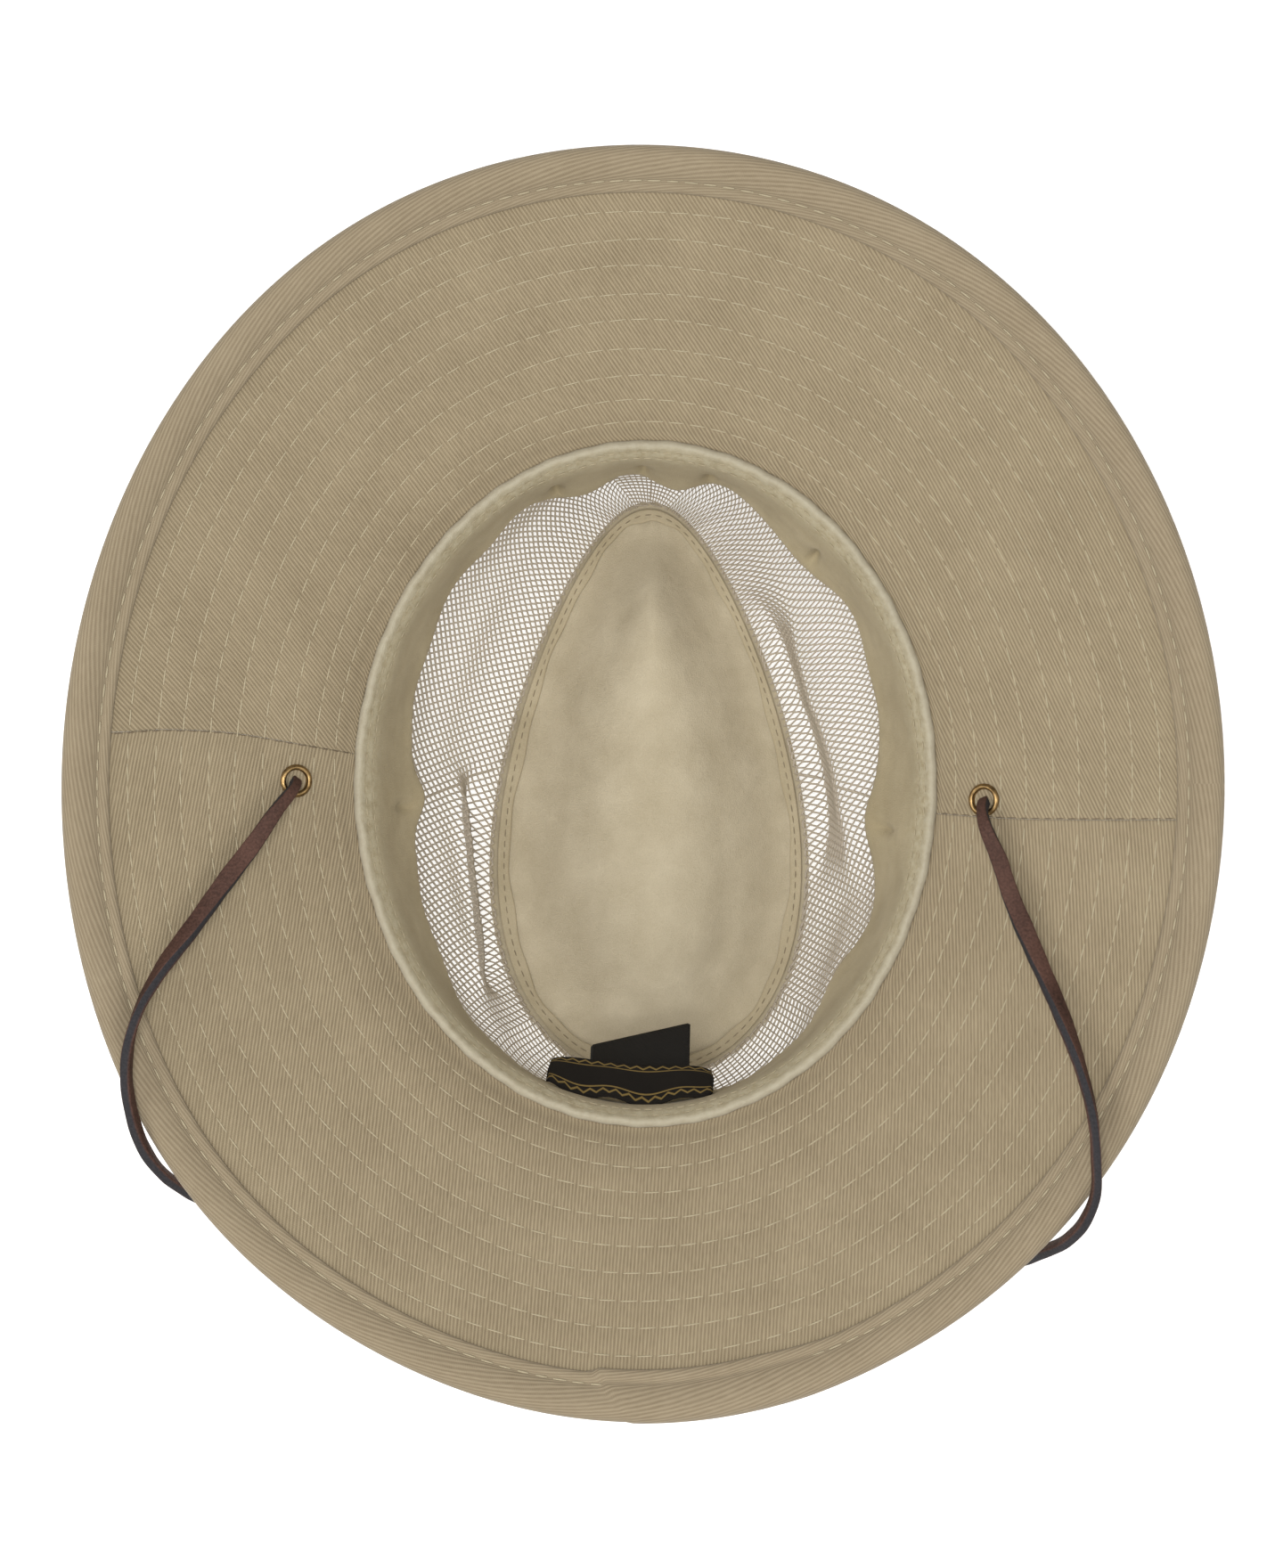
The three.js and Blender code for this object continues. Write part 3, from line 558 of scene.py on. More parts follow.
panels = [
    {"name": "brim_front", "start": right_seam, "end": left_seam, "lines": math.radians(107.5)},
    {"name": "brim_back", "start": left_seam, "end": right_seam + 360, "lines": math.radians(86.7)},
]
twill_dark = (0.168, 0.127, 0.074, 1)
twill_light = (0.4, 0.325, 0.21, 1)
twill_pitch = 1.02 * mm
twill_relief = 0.22 * mm
for panel in panels:
    angles = brim_panel(panel["start"], panel["end"])
    last_row = len(brim_shares) - 1

    def panel_surface(u, v):
        k = np.round(u * brim_columns).astype(int)
        row, side = there_and_back(v, last_row, 0)
        plump = np.interp(brim_shares[row], [0, 0.004, 0.012, 0.95, brim_fold_share], [0, 0.7, 1, 1, 0])
        from_end = np.minimum(k, brim_columns - k)
        plump = plump * np.interp(from_end, [0, 1, 2], [0, 0.9, 1])
        around = angles[k] + seam_bow(angles[k], brim_shares[row])
        return brim_face(around, brim_shares[row], side, plump)

    def panel_flat(u, v):
        k = np.round(u * brim_columns).astype(int)
        row, side = there_and_back(v, last_row, 0)
        return flat_cloth(panel["start"], angles[k], brim_shares[row])

    name = panel["name"] + "_twill"
    cloth_panel = laid_grid(name, brim_columns, 2 * last_row, panel_surface)
    cloth_map(cloth_panel, panel_flat)
    paint = twill_paint(name, twill_dark, twill_light, panel["lines"], twill_pitch, twill_relief)
    finished(cloth_panel, paint, "brim_twill", panel["name"])

# Stitches.
# Pale cotton thread. Long quilting stitches hold the brim's plies together on both faces, shorter ones hold
# the binding, and a fine row closes each side seam, whose thread is painted dark as painted shade of its
# needle holes.
quilt_pitch, quilt_length = 6.2 * mm, 5.5 * mm
binding_pitch, binding_length = 5.3 * mm, 4.1 * mm
seam_pitch, seam_length = 3.6 * mm, 2.6 * mm
seam_from, seam_to = 0.03, 0.84
# Where the quilting rows start, in degrees from a panel's end, and how far they stray, as a share of the run
quilt_start = 0.6
quilt_wobble = 0.0022
thread_half_width = 0.25 * mm
stitch_turn = 0.035
stitch_unevenness = 0.16


def thread_paint(name, dark, light):
    """Twisted cotton thread."""
    material, tree, shader = painted(name)
    twist = speckle(coordinates(tree), 2200, 2)
    coloured(shader, twist, dark, light)
    constants(shader, {"Roughness": 0.8})
    bumped(shader, twist, 0.1 * mm)
    return material


def sewn(name, middles, along, up, length, half_width, thread, slot):
    """A row of stitches: one stretched bead of thread, modelled once and copied to each place."""
    bpy.ops.object.select_all(action="DESELECT")
    bpy.ops.mesh.primitive_uv_sphere_add(segments=5, ring_count=4, radius=1)
    bead = bpy.context.object
    shape = np.array([vertex.co for vertex in bead.data.vertices])[:, [2, 0, 1]]
    faces = [list(face.vertices) for face in bead.data.polygons]
    bpy.data.objects.remove(bead)
    side = np.cross(up, along)
    along = unit(along + stitch_turn * side)
    side = np.cross(up, along)
    shape[:, 0] = np.sign(shape[:, 0]) * np.abs(shape[:, 0]) ** 0.4
    place = np.arange(len(middles))
    uneven = 1 - stitch_unevenness * (0.5 + 0.5 * np.sin(place * 2.3 + 3 * np.sin(place * 0.71)))
    corners = (
        shape[None, :, :1] * along[:, None, :] * (uneven * length / 2)[:, None, None]
        + shape[None, :, 1:2] * side[:, None, :] * half_width
        + shape[None, :, 2:] * up[:, None, :] * (half_width * 0.8)
        + middles[:, None, :]
    )
    mesh = bpy.data.meshes.new(name)
    count = len(shape)
    copies = [[corner + copy * count for corner in face] for copy in range(len(middles)) for face in faces]
    mesh.from_pydata(corners.reshape(-1, 3).tolist(), [], copies)
    piece = bpy.data.objects.new(name, mesh)
    bpy.context.collection.objects.link(piece)
    mesh.shade_smooth()
    finished(piece, thread, slot)


def stitch_places(line, pitch):
    """Even places along a line of points, the way that it runs there, and their shares of its length."""
    far = reached(line)
    count = int(far[-1] / pitch)
    at = (np.arange(count) + 0.5) * far[-1] / count
    back, middles, ahead = (
        np.stack([np.interp(at + step, far, line[:, axis]) for axis in range(3)], axis=1)
        for step in (-0.3 * pitch, 0, 0.3 * pitch)
    )
    return middles, unit(ahead - back), at / far[-1]


def square_to(up, along):
    """The part of up that stands square to along, at length one."""
    return unit(up - along * np.sum(up * along, axis=1, keepdims=True))


pale_thread = thread_paint("pale_thread", (0.33, 0.275, 0.175, 1), (0.5, 0.43, 0.29, 1))
# Thread for the side seams: its dark colour is painted shade of the needle holes along each seam.
seam_thread_painted_shade = thread_paint("seam_thread_painted_shade", (0.12, 0.085, 0.05, 1), (0.2, 0.15, 0.095, 1))
for face_name, side in (("inner", 1.0), ("outer", -1.0)):
    all_rows = []
    for panel in panels:
        start, end = panel["start"] + quilt_start, panel["end"] - quilt_start
        for number, row in enumerate(quilt_rows):
            fine = np.linspace(start, end, 500)
            wobble = quilt_wobble * np.sin(np.radians(fine * (7 + number) + 50 * number)) * side
            line = brim_face(fine, row + wobble, np.full(500, side))
            middles, along, share = stitch_places(line, quilt_pitch)
            around = start + share * (end - start)
            up = facing(brim_middle, around, np.full(len(around), row)) * side
            all_rows.append((middles, along, square_to(up, along)))
    joined = [np.concatenate(parts) for parts in zip(*all_rows)]
    name = f"quilting_{face_name}"
    sewn(name, *joined, quilt_length, thread_half_width, pale_thread, "brim_twill")

for seam_name, seam_angle in (("right", right_seam), ("left", left_seam)):
    shares = np.linspace(seam_from, seam_to, 120)
    around = seam_angle + seam_bow(np.full(120, seam_angle), shares) + 0.12
    line = brim_face(around, shares, np.ones(120))
    middles, along, share = stitch_places(line, seam_pitch)
    up = facing(brim_middle, np.full(len(share), seam_angle), seam_from + (seam_to - seam_from) * share)
    name = f"side_seam_{seam_name}"
    sewn(name, middles, along, up, seam_length, thread_half_width * 0.7, seam_thread_painted_shade, "brim_twill")

# Binding.
# A bias strip of the same twill, folded over the brim's edge and sewn through. It rolls fully round the edge,
# is pressed flat where the stitches pull it down, and its end laps over its start at the back.
binding_width = 13.4 * mm
# Where the lapped end starts, how far it reaches, in degrees, and how much wider and higher it lies
binding_lap = 266
lap_length = 26
lap_widening = 0.1
lap_height = 0.42 * mm
# The binding's section: shares of its width from the rim, and heights off the brim's middle in mm
binding_profile = np.array([
    (1, 0.95), (0.998, 1.7), (0.97, 2.1), (0.9, 2.3), (0.82, 2.2), (0.77, 1.85), (0.735, 1.6), (0.7, 1.85),
    (0.64, 2.25), (0.54, 2.6), (0.42, 2.85), (0.3, 2.95), (0.2, 2.85), (0.12, 2.5), (0.06, 1.95), (0.02, 1.2),
    (0, 0.4),
])
# The groove that the stitches press in: its share of the binding's width, and its thread's height on the brim
groove_share, groove_height = 0.735, 1.85 * mm
binding_columns = 480


def binding_place(around, along, across, side):
    """A place in the binding's section at the rim: along the brim from the rim, and across it, in metres."""
    rim = brim_middle(around, np.ones(len(around)))
    inwards = unit(brim_middle(around, np.full(len(around), 0.9)) - rim)
    normal = facing(brim_middle, around, np.full(len(around), 0.999))
    return rim + inwards * along[:, None] + normal * (across * side)[:, None]


def lap_share(around, along_share):
    """How far a place lies under the lapped end, whose cut runs slanting across the binding."""
    cut = binding_lap + 2.8 - 4.2 * along_share
    ahead = (around - cut + 180) % 360 - 180
    return np.clip(ahead / 0.35, 0, 1) * np.clip((lap_length - ahead) / 8, 0, 1)


def binding_surface(u, v):
    around = 360 * u
    row, side = there_and_back(v, len(binding_profile) - 1)
    along_share = binding_profile[row, 0]
    across = binding_profile[row, 1] * mm
    ripple = np.sin(np.radians(around * 67)) * np.sin(np.radians(around * 5.3 + 40))
    across = across + 0.1 * mm * ripple * np.sin(math.pi * along_share)
    lap = lap_share(around, along_share)
    wider = 1 + lap_widening * lap * (side > 0)
    across = across + lap_height * lap * (across > 1 * mm)
    reach = binding_width * along_share * wider - 0.35 * mm * lap * (along_share < 0.1)
    return binding_place(around, reach, across, side)


def binding_flat(u, v):
    last = len(binding_profile) - 1
    row = np.abs(v * (2 * last + 1) - last - 0.5)
    across = np.interp(row, np.arange(last + 1), np.cumsum(np.full(last + 1, 1.1 * mm)))
    rim_radius = (brim_edge_x + brim_edge_y) / 2 + brim_run
    return rim_radius * np.radians(360 * u), across


binding = laid_grid("binding_twill", binding_columns, 2 * len(binding_profile) - 1, binding_surface)
cloth_map(binding, binding_flat)
binding_paint = twill_paint(
    "binding_twill", (0.2, 0.153, 0.094, 1), (0.35, 0.285, 0.19, 1), math.radians(8), 1.0 * mm, 0.12 * mm,
)
finished(binding, binding_paint, "binding_twill", "brim_binding")
for face_name, side in (("inner", 1.0), ("outer", -1.0)):
    fine = np.linspace(0, 360, 1500)
    groove = np.full(1500, groove_share * binding_width)
    line = binding_place(fine, groove, np.full(1500, groove_height), side)
    middles, along, share = stitch_places(line, binding_pitch)
    up = square_to(facing(brim_middle, 360 * share, np.full(len(share), 0.9)) * side, along)
    name = f"binding_stitches_{face_name}"
    sewn(name, middles, along, up, binding_length, thread_half_width * 1.2, pale_thread, "binding_twill")

# Net wall.
# The crown's side is one piece of knitted net, whose holes stand in slanting rows, joined at the back.
# It is soft, so that it stands up steeply at the front and sinks in folds under the upturned hat.
tip_width = 95 * mm
tip_length = 180.2 * mm
tip_set_back = 2.6 * mm
tip_set_aside = 2 * mm
tip_narrowing = 0.316
# How far in the wall runs at shares of its height: at the sides, at the front and at the back
net_sections = np.array([
    (0, 0, 0, 0), (0.3, 0.03, 0.02, 0.01), (0.4, 0.08, 0.06, 0.02), (0.5, 0.17, 0.13, 0.04),
    (0.56, 0.25, 0.2, 0.06), (0.65, 0.36, 0.26, 0.12), (0.75, 0.52, 0.38, 0.27), (0.8, 0.6, 0.46, 0.39),
    (0.87, 0.73, 0.61, 0.6), (0.9, 0.79, 0.69, 0.69), (0.95, 0.895, 0.84, 0.85), (1, 1, 1, 1),
])
# Soft dents: the place round the hat and its width, the share of the height and its reach, the depth in mm
net_dents = [
    (28, 30, 0.76, 0.13, 3.3), (205, 30, 0.74, 0.12, 3.3), (150, 14, 0.7, 0.12, 1.65),
    (325, 16, 0.72, 0.12, 1.4),
]
# Folds, where the wall stands on edge: the places round the hat and shares of the height that each runs
# through, how far it sets the wall back in mm, its reach across, and in how many degrees its ends fade
net_folds = [
    ([179, 191, 202, 211.5, 220], [0.852, 0.894, 0.906, 0.886, 0.824], 2.6, 0.03, 9),
    (
        [347, 351, 358, 364.5, 374, 378, 388, 397], [0.88, 0.872, 0.872, 0.872, 0.884, 0.895, 0.88, 0.858],
        3.3, 0.06, 15,
    ),
]
# The steps from hole to hole on the net, and how its knit is drawn askew at places round the hat: how far
# the lines that run down shift round for each hole, and how far the rows fall for each hole
net_step_round, net_step_down = 2.42 * mm, 1.95 * mm
net_askew = np.array([
    (-90, 0, 0.4), (-45, 0.4, 0.7), (-17, 0.65, 0.65), (11, 0.6, 0.05), (33, 0.8, -0.5), (60, 0.7, -0.4),
    (88, 0, -0.35), (118, -0.85, -0.35), (137, -0.8, -0.4), (157, -0.7, -0.45), (197, -0.6, -0.4),
    (212, -0.4, -0.6), (240, -0.1, -0.55), (270, 0, -0.4),
])
# The depth that the lines lean from, the least depth at which they lean, and the sides where the holes do
net_upright_depth, net_least_depth = 82 * mm, 45 * mm
net_left_side, net_right_side = (100, 232), (-48, 76)
net_strand = 0.95 * mm
# How much the net is stretched where it is steep, at the front and the back, and how thin its strands get
net_stretch, net_thinning = 0.62, 0.42
net_yarn_dark = (0.385, 0.325, 0.24, 1)
net_yarn_light = (0.56, 0.49, 0.395, 1)
net_top = seam_height - brim_thickness - 0.3 * mm
net_foot = 5 * mm


def tip_outline(around, margin):
    """The teardrop outline of the tip, brought in by a margin."""
    angle = np.radians(around)
    x = (tip_width / 2 - margin) * np.cos(angle) * (1 - tip_narrowing * np.sin(angle)) - tip_set_aside
    y = (tip_length / 2 - margin) * np.sin(angle) - tip_set_back
    return x, y


def front_and_back(around, front_deg, back_deg):
    """How far a place round the hat belongs to the wall's front and to its back, from 0 to 1."""
    front = np.exp(-((((around + 92) % 360 - 180) / front_deg) ** 4))
    back = np.exp(-((((around + 272) % 360 - 180) / back_deg) ** 4))
    return front, back


def net_middle(around, share):
    """The net wall's surface, from the brim seam down to the tip's edge."""
    angle = np.radians(around)
    front, back = front_and_back(around, 27, 45)
    inwards = (1 - front - back) * through(net_sections, 1, share)
    inwards = inwards + front * through(net_sections, 2, share) + back * through(net_sections, 3, share)
    tip_x, tip_y = tip_outline(around, 1 * mm)
    x = (1 - inwards) * (brim_edge_x + 0.5 * mm) * np.cos(angle) + inwards * tip_x
    y = (1 - inwards) * (brim_edge_y + 0.5 * mm) * np.sin(angle) + inwards * tip_y
    dent = sum(
        depth * mm * nearness(around, centre, wide) * bell(share, down, reach)
        for centre, wide, down, reach, depth in net_dents
    )
    held = np.clip((1 - share) / 0.06, 0, 1)
    for line_around, line_down, back, reach, fade in net_folds:
        first, last = line_around[0], line_around[-1]
        unwound = first + (around - first + 60) % 360 - 60
        from_line = (share - np.interp(unwound, line_around, line_down)) / reach
        from_end = np.minimum(unwound - first, last - unwound) + fade / 2
        ends = np.clip(from_end / fade, 0, 1)
        beyond = np.maximum(np.abs(from_line) - 1, 0)
        dent = dent - back * mm * ends * held * from_line / (1 + np.abs(from_line) * beyond**2 / 3)
    closer = 1 - dent / np.hypot(x, y)
    return np.stack([x * closer, y * closer, net_top + (net_foot - net_top) * share], axis=1)


# How far down the slanting wall each share of its height lies, and how far along the seam each place round it
fine_share = np.linspace(0, 1, 201)
slant = sum(reached(net_middle(np.full(201, around), fine_share)) for around in range(0, 360, 30)) / 12
fine_around = np.linspace(-90, 270, 1441)
seam_reached = reached(net_middle(fine_around, np.zeros(1441)))
net_depth = slant[-1]

# The corners of the net's lattice: how far round the seam and down the wall each lies
steps_round = int(seam_reached[-1] / net_step_round)
column = np.arange(-2, steps_round + 3)
column_around = np.interp(column * net_step_round, seam_reached, fine_around)
lean_round = np.interp(column_around, net_askew[:, 0], net_askew[:, 1]) * mm
row_fall = np.interp(column_around, net_askew[:, 0], net_askew[:, 2]) * mm
fallen = np.cumsum(row_fall) - np.sum(row_fall[column_around < 90])
level = np.arange(-60, 120)
corner_down = fallen[:, None] + level[None, :] * net_step_down
from_level = (np.maximum(corner_down, net_least_depth) - net_upright_depth) / net_step_down
corner_round = column[:, None] * net_step_round + lean_round[:, None] * from_level
net_share = np.interp(np.clip(corner_down, 0, net_depth), slant, fine_share)
net_around = np.interp(np.clip(corner_round, 0, seam_reached[-1]), seam_reached, fine_around)
# The wall hangs stretched towards the tip at the front and the back, where it is steep
stretched = net_stretch * np.maximum(*front_and_back(net_around, 44, 62))
net_share = net_share - stretched * np.sin(math.pi * net_share) / math.pi
net_points = net_middle(net_around.ravel(), net_share.ravel())
# How thick the strands are at each corner, as a share of a full strand
net_thickness = 1 - net_thinning * np.maximum(*front_and_back(net_around.ravel(), 26, 46))

# Each hole lies between two lines. On the leaning sides the next line's corners are one level on or back
numbers = np.arange(corner_down.size).reshape(corner_down.shape)
cells = []
for k in range(len(column) - 1):
    around = column_around[k]
    on_left = net_left_side[0] < around < net_left_side[1]
    on_right = net_right_side[0] < around < net_right_side[1]
    shift = int(on_left) - int(on_right)
    for j in range(1, len(level) - 2):
        corners = [(k, j), (k + 1, j + shift), (k + 1, j + 1 + shift), (k, j + 1)]
        deep = sum(corner_down[corner] for corner in corners) / 4
        far = sum(corner_round[corner] for corner in corners) / 4
        if 0 < deep < net_depth and 0 < far < seam_reached[-1]:
            cells.append([numbers[corner] for corner in corners])
cells = np.array(cells)
net_paint, tree, shader = painted("net_yarn")
coloured(shader, speckle(coordinates(tree), 1500, 2), net_yarn_dark, net_yarn_light)
constants(shader, {"Roughness": 0.7})
# The net goes into four pieces, because one would have too many faces
net_parts = 4
for part in range(net_parts):
    own = cells[part * len(cells) // net_parts:(part + 1) * len(cells) // net_parts]
    used, numbered = np.unique(own, return_inverse=True)
    mesh = bpy.data.meshes.new(f"net_{part + 1}")
    mesh.from_pydata(net_points[used].tolist(), [], numbered.reshape(-1, 4).tolist())
    piece = bpy.data.objects.new(f"net_{part + 1}", mesh)
    bpy.context.collection.objects.link(piece)
    drawn_thin = piece.vertex_groups.new(name="drawn_thin")
    for corner, thickness in enumerate(net_thickness[used]):
        drawn_thin.add([corner], float(thickness), "REPLACE")
    strands = piece.modifiers.new("strands", "WIREFRAME")
    strands.thickness = net_strand
    strands.use_even_offset = False
    strands.use_relative_offset = False
    strands.use_boundary = True
    strands.vertex_group = "drawn_thin"
    bpy.context.view_layer.objects.active = piece
    bpy.ops.object.modifier_apply(modifier="strands")
    mesh.shade_smooth()
    finished(piece, net_paint, "net", "crown_net")

# Tip.
# A teardrop of smooth cotton closes the crown. It is creased along its middle, which rises inside the
# upturned hat, and it puckers slightly at its seam.
tip_dent = 22 * mm
tip_edge_lift = 3.5 * mm
# The dent's and the edge's rise, as shares, at shares of the way out from the crease
tip_sections = np.array([
    (-0.3, 0.82, 0), (0, 1, 0), (0.3, 0.82, 0), (0.5, 0.5, 0), (0.68, 0.2, 0), (0.82, 0.04, 0),
    (0.9, 0, 0.02), (0.95, 0, 0.25), (1, 0, 1),
])
tip_thickness = 1.2 * mm
crease_share = 0.5
# How high the cloth stands in its puckers along the seam, in its slack flank and in its fine ripples
tip_pucker, tip_slack, tip_ripple = 0.22 * mm, 0.5 * mm, 0.26 * mm
tip_rows = np.concatenate([np.linspace(0, 0.85, 35), np.linspace(0.87, 1, 12)])
tip_columns = 288


def tip_face(around, out, height):
    """A place on the tip, at a share of the way out from its crease, and a height above its lower face."""
    angle = np.radians(around)
    edge_x, edge_y = tip_outline(around, 0)
    crease_y = tip_length / 2 * crease_share * np.sin(angle) - tip_set_back
    dent = through(tip_sections, 1, out)
    lift = through(tip_sections, 2, out)
    uneven = around * 37 + 60 * np.sin(np.radians(around * 5))
    pucker = bell(out, 0.88, 0.05) * np.sin(np.radians(uneven))
    slack = nearness(around, 318, 22) * bell(out, 0.55, 0.2) * np.sin((out - 0.3) * 22)
    x = edge_x * out
    y = crease_y + (edge_y - crease_y) * out
    ripple = np.sin(x / (3.4 * mm) + 1.4 * np.sin(y / (26 * mm))) * bell(out, 0.55, 0.22)
    waves = tip_pucker * pucker + tip_slack * slack + tip_ripple * ripple
    return np.stack([x, y, tip_dent * dent + tip_edge_lift * lift + waves + height], axis=1)


def tip_surface(u, v):
    row, side = there_and_back(v, len(tip_rows) - 1)
    return tip_face(360 * u, tip_rows[row], np.where(side > 0, tip_thickness, 0))


def cotton_paint(name, dark, light, relief, sheen):
    """Smooth plain cotton: a fine weave with faint rubbed patches."""
    material, tree, shader = painted(name)
    weave = speckle(coordinates(tree), 2600, 3, 0.6)
    creases = speckle(coordinates(tree), 60, 4, 0.6)
    tone = weighed((weave, 0.4), (creases, 0.6))
    coloured(shader, spread(tone, 0.3, 0.7), dark, light)
    constants(shader, {"Roughness": 0.85, "Specular IOR Level": 0.25, "Sheen Weight": sheen})
    bumped(shader, reckon("ADD", reckon("MULTIPLY", weave, 0.25), creases), relief)
    return material


tip = laid_grid("tip_cotton", tip_columns, 2 * len(tip_rows) - 1, tip_surface)
tip_paint = cotton_paint("tip_cotton", (0.44, 0.373, 0.25, 1), (0.605, 0.53, 0.382, 1), 0.9 * mm, 0.1)
finished(tip, tip_paint, "tip_cotton", "crown_tip")

# Seam fold of the tip.
# The turned-in allowances of tip and net lie on the tip's edge, held down by a line of stitches.
fold_start = 2.3 * mm
fold_width = 3.6 * mm
fold_pitch, fold_stitch = 3.4 * mm, 2.3 * mm
fold_stitch_height = 1.3 * mm
# The fold's section: shares of its width, and heights above the tip in mm
fold_profile = np.array([
    (0, 0.3), (0, 1), (0.08, 1.4), (0.3, 1.5), (0.5, 1.2), (0.7, 1.45), (0.92, 1.35), (1, 0.95), (1, 0.3),
])


def fold_surface(u, v):
    j = np.round(v * len(fold_profile)).astype(int) % len(fold_profile)
    around = 360 * u
    wander = 1 + 0.12 * np.sin(np.radians(around * 9)) + 0.08 * np.sin(np.radians(around * 23 + 50))
    inset = fold_start + fold_width * fold_profile[j, 0] * wander
    return tip_face(around, 1 - 2 * inset / tip_width, tip_thickness + fold_profile[j, 1] * mm)


fold = laid_grid("tip_fold_cotton", tip_columns, len(fold_profile), fold_surface)
# The fold is the tip's cotton painted darker: painted shade along the fold.
fold_paint_shaded = cotton_paint("fold_cotton", (0.38, 0.315, 0.2, 1), (0.52, 0.445, 0.305, 1), 0.6 * mm, 0.05)
finished(fold, fold_paint_shaded, "tip_cotton", "tip_seam_fold")
fine = np.linspace(0, 360, 1200)
fold_middle = 1 - 2 * (fold_start + fold_width / 2) / tip_width
line = tip_face(fine, np.full(1200, fold_middle), tip_thickness + fold_stitch_height)
middles, along, share = stitch_places(line, fold_pitch)
up = square_to(np.broadcast_to([0.0, 0.0, 1.0], middles.shape), along)
tan_thread = thread_paint("tan_thread", (0.2, 0.16, 0.1, 1), (0.31, 0.255, 0.165, 1))
sewn("fold_stitches", middles, along, up, fold_stitch, thread_half_width * 0.8, tan_thread, "tip_cotton")

# Sweatband.
# A folded strip of smooth cotton, sewn into the head opening along its padded upper edge. Its lower edge
# hangs free, bows in waves and is pinched by small tucks.
band_height = 38 * mm
# How far the band leans in, as a share of its height, and where it bows: place, width and further lean
band_lean = 0.095
band_waves = [
    (4, 39, 0.27), (352, 8, 0.155), (54, 13, 0.19), (83.5, 7, 0.16), (103.5, 7.5, 0.125), (127, 6, 0.03),
    (182, 49, 0.21), (183, 5.5, 0.137), (236, 21, -0.09), (318, 11, 0.11),
]
band_sections = np.array([(0, 0), (0.12, 0.03), (0.4, 0.26), (0.7, 0.6), (1, 1)])
# The sewn upper edge stands in as a soft shoulder, by shares of this at shares of the band's height
band_shoulder = 2.6 * mm
shoulder_sections = np.array([
    (0, 0), (0.05, 0.32), (0.16, 1), (0.3, 1.04), (0.55, 0.75), (0.8, 0.25), (1, 0),
])
# The band's section: shares of its height, and how far off its middle surface in mm
band_profile = np.array([
    (0.03, -2.1), (0.012, -1.9), (-0.004, -1.2), (-0.012, -0.3), (-0.006, 0.4), (0.014, 0.85), (0.04, 0.95),
    (0.07, 0.72), (0.1, 0.85), (0.13, 0.72), (0.16, 0.6), (0.19, 0.7), (0.25, 0.75), (0.35, 0.72),
    (0.45, 0.7), (0.55, 0.68), (0.65, 0.66), (0.75, 0.65), (0.84, 0.65), (0.91, 0.7), (0.96, 0.75),
    (0.99, 0.5), (1, 0), (0.99, -0.5), (0.93, -0.7), (0.8, -0.65), (0.65, -0.65), (0.5, -0.68), (0.35, -0.7),
    (0.2, -0.75), (0.1, -0.75), (0.045, -0.9),
])
band_columns = 540
# Small tucks that pinch the band above its free edge: the place round the hat and the depth in mm
band_tucks = [(110, 6.4), (90.8, 5.6), (76.5, 6.4), (49, 5), (351, 3), (184.5, 3)]
tuck_width, tuck_share, tuck_reach = 1.2, 0.72, 0.13
band_pitch, band_stitch = 3.2 * mm, 2.4 * mm


def band_middle(around, share):
    """The sweatband's surface, from its seam down to its free edge."""
    angle = np.radians(around)
    lean = band_lean + sum(more * nearness(around, centre, wide) for centre, wide, more in band_waves)
    lean = lean + 0.012 * np.sin(np.radians(around * 17 + 30)) * np.clip(share * 2 - 0.6, 0, 1)
    inwards = band_height * lean * through(band_sections, 1, share)
    inwards = inwards + band_shoulder * through(shoulder_sections, 1, share)
    tuck = sum(depth * mm * nearness(around, centre, tuck_width) for centre, depth in band_tucks)
    inwards = inwards - tuck * bell(share, tuck_share, tuck_reach)
    x = (brim_edge_x - 1.05 * mm) * np.cos(angle)
    y = (brim_edge_y - 1.05 * mm) * np.sin(angle)
    closer = 1 - inwards / np.hypot(x, y)
    return np.stack([x * closer, y * closer, seam_height + sweatband_lip - band_height * share], axis=1)


def away(angle):
    """The level way out from the hat's middle at angles in radians."""
    return np.stack([np.cos(angle), np.sin(angle), np.zeros(len(angle))], axis=1)


def band_face(around, share, off):
    """A place at a distance from the band's middle surface, towards the head."""
    normal = facing(band_middle, around, np.clip(share, 0.02, 0.98), 0.01)
    middle = band_middle(around, np.clip(share, 0, 1))
    turned_in = np.where(np.sum(normal * away(np.radians(around)), axis=1) > 0, -1.0, 1.0)
    middle[:, 2] += np.where(share < 0, -share, 0) * band_height
    return middle + normal * (turned_in * off)[:, None]


def band_surface(u, v):
    j = np.round(v * len(band_profile)).astype(int) % len(band_profile)
    around = 360 * u
    share = band_profile[j, 0]
    off = band_profile[j, 1] * mm
    turn = np.radians(around)
    gather = 0.16 * mm * np.sin(turn * 90) * bell(share, 0.09, 0.07)
    uneven = (0.08 * np.sin(turn * 11 + 1) + 0.12 * np.sin(turn * 29) + 0.13 * np.sin(turn * 61 + 2)) * mm
    return band_face(around, share, off + gather * (off > 0) + uneven * bell(share, 0, 0.06))


sweatband = laid_grid("sweatband_cotton", band_columns, len(band_profile), band_surface)
band_paint = cotton_paint("band_cotton", (0.3, 0.24, 0.133, 1), (0.44, 0.365, 0.225, 1), 0.9 * mm, 0.1)
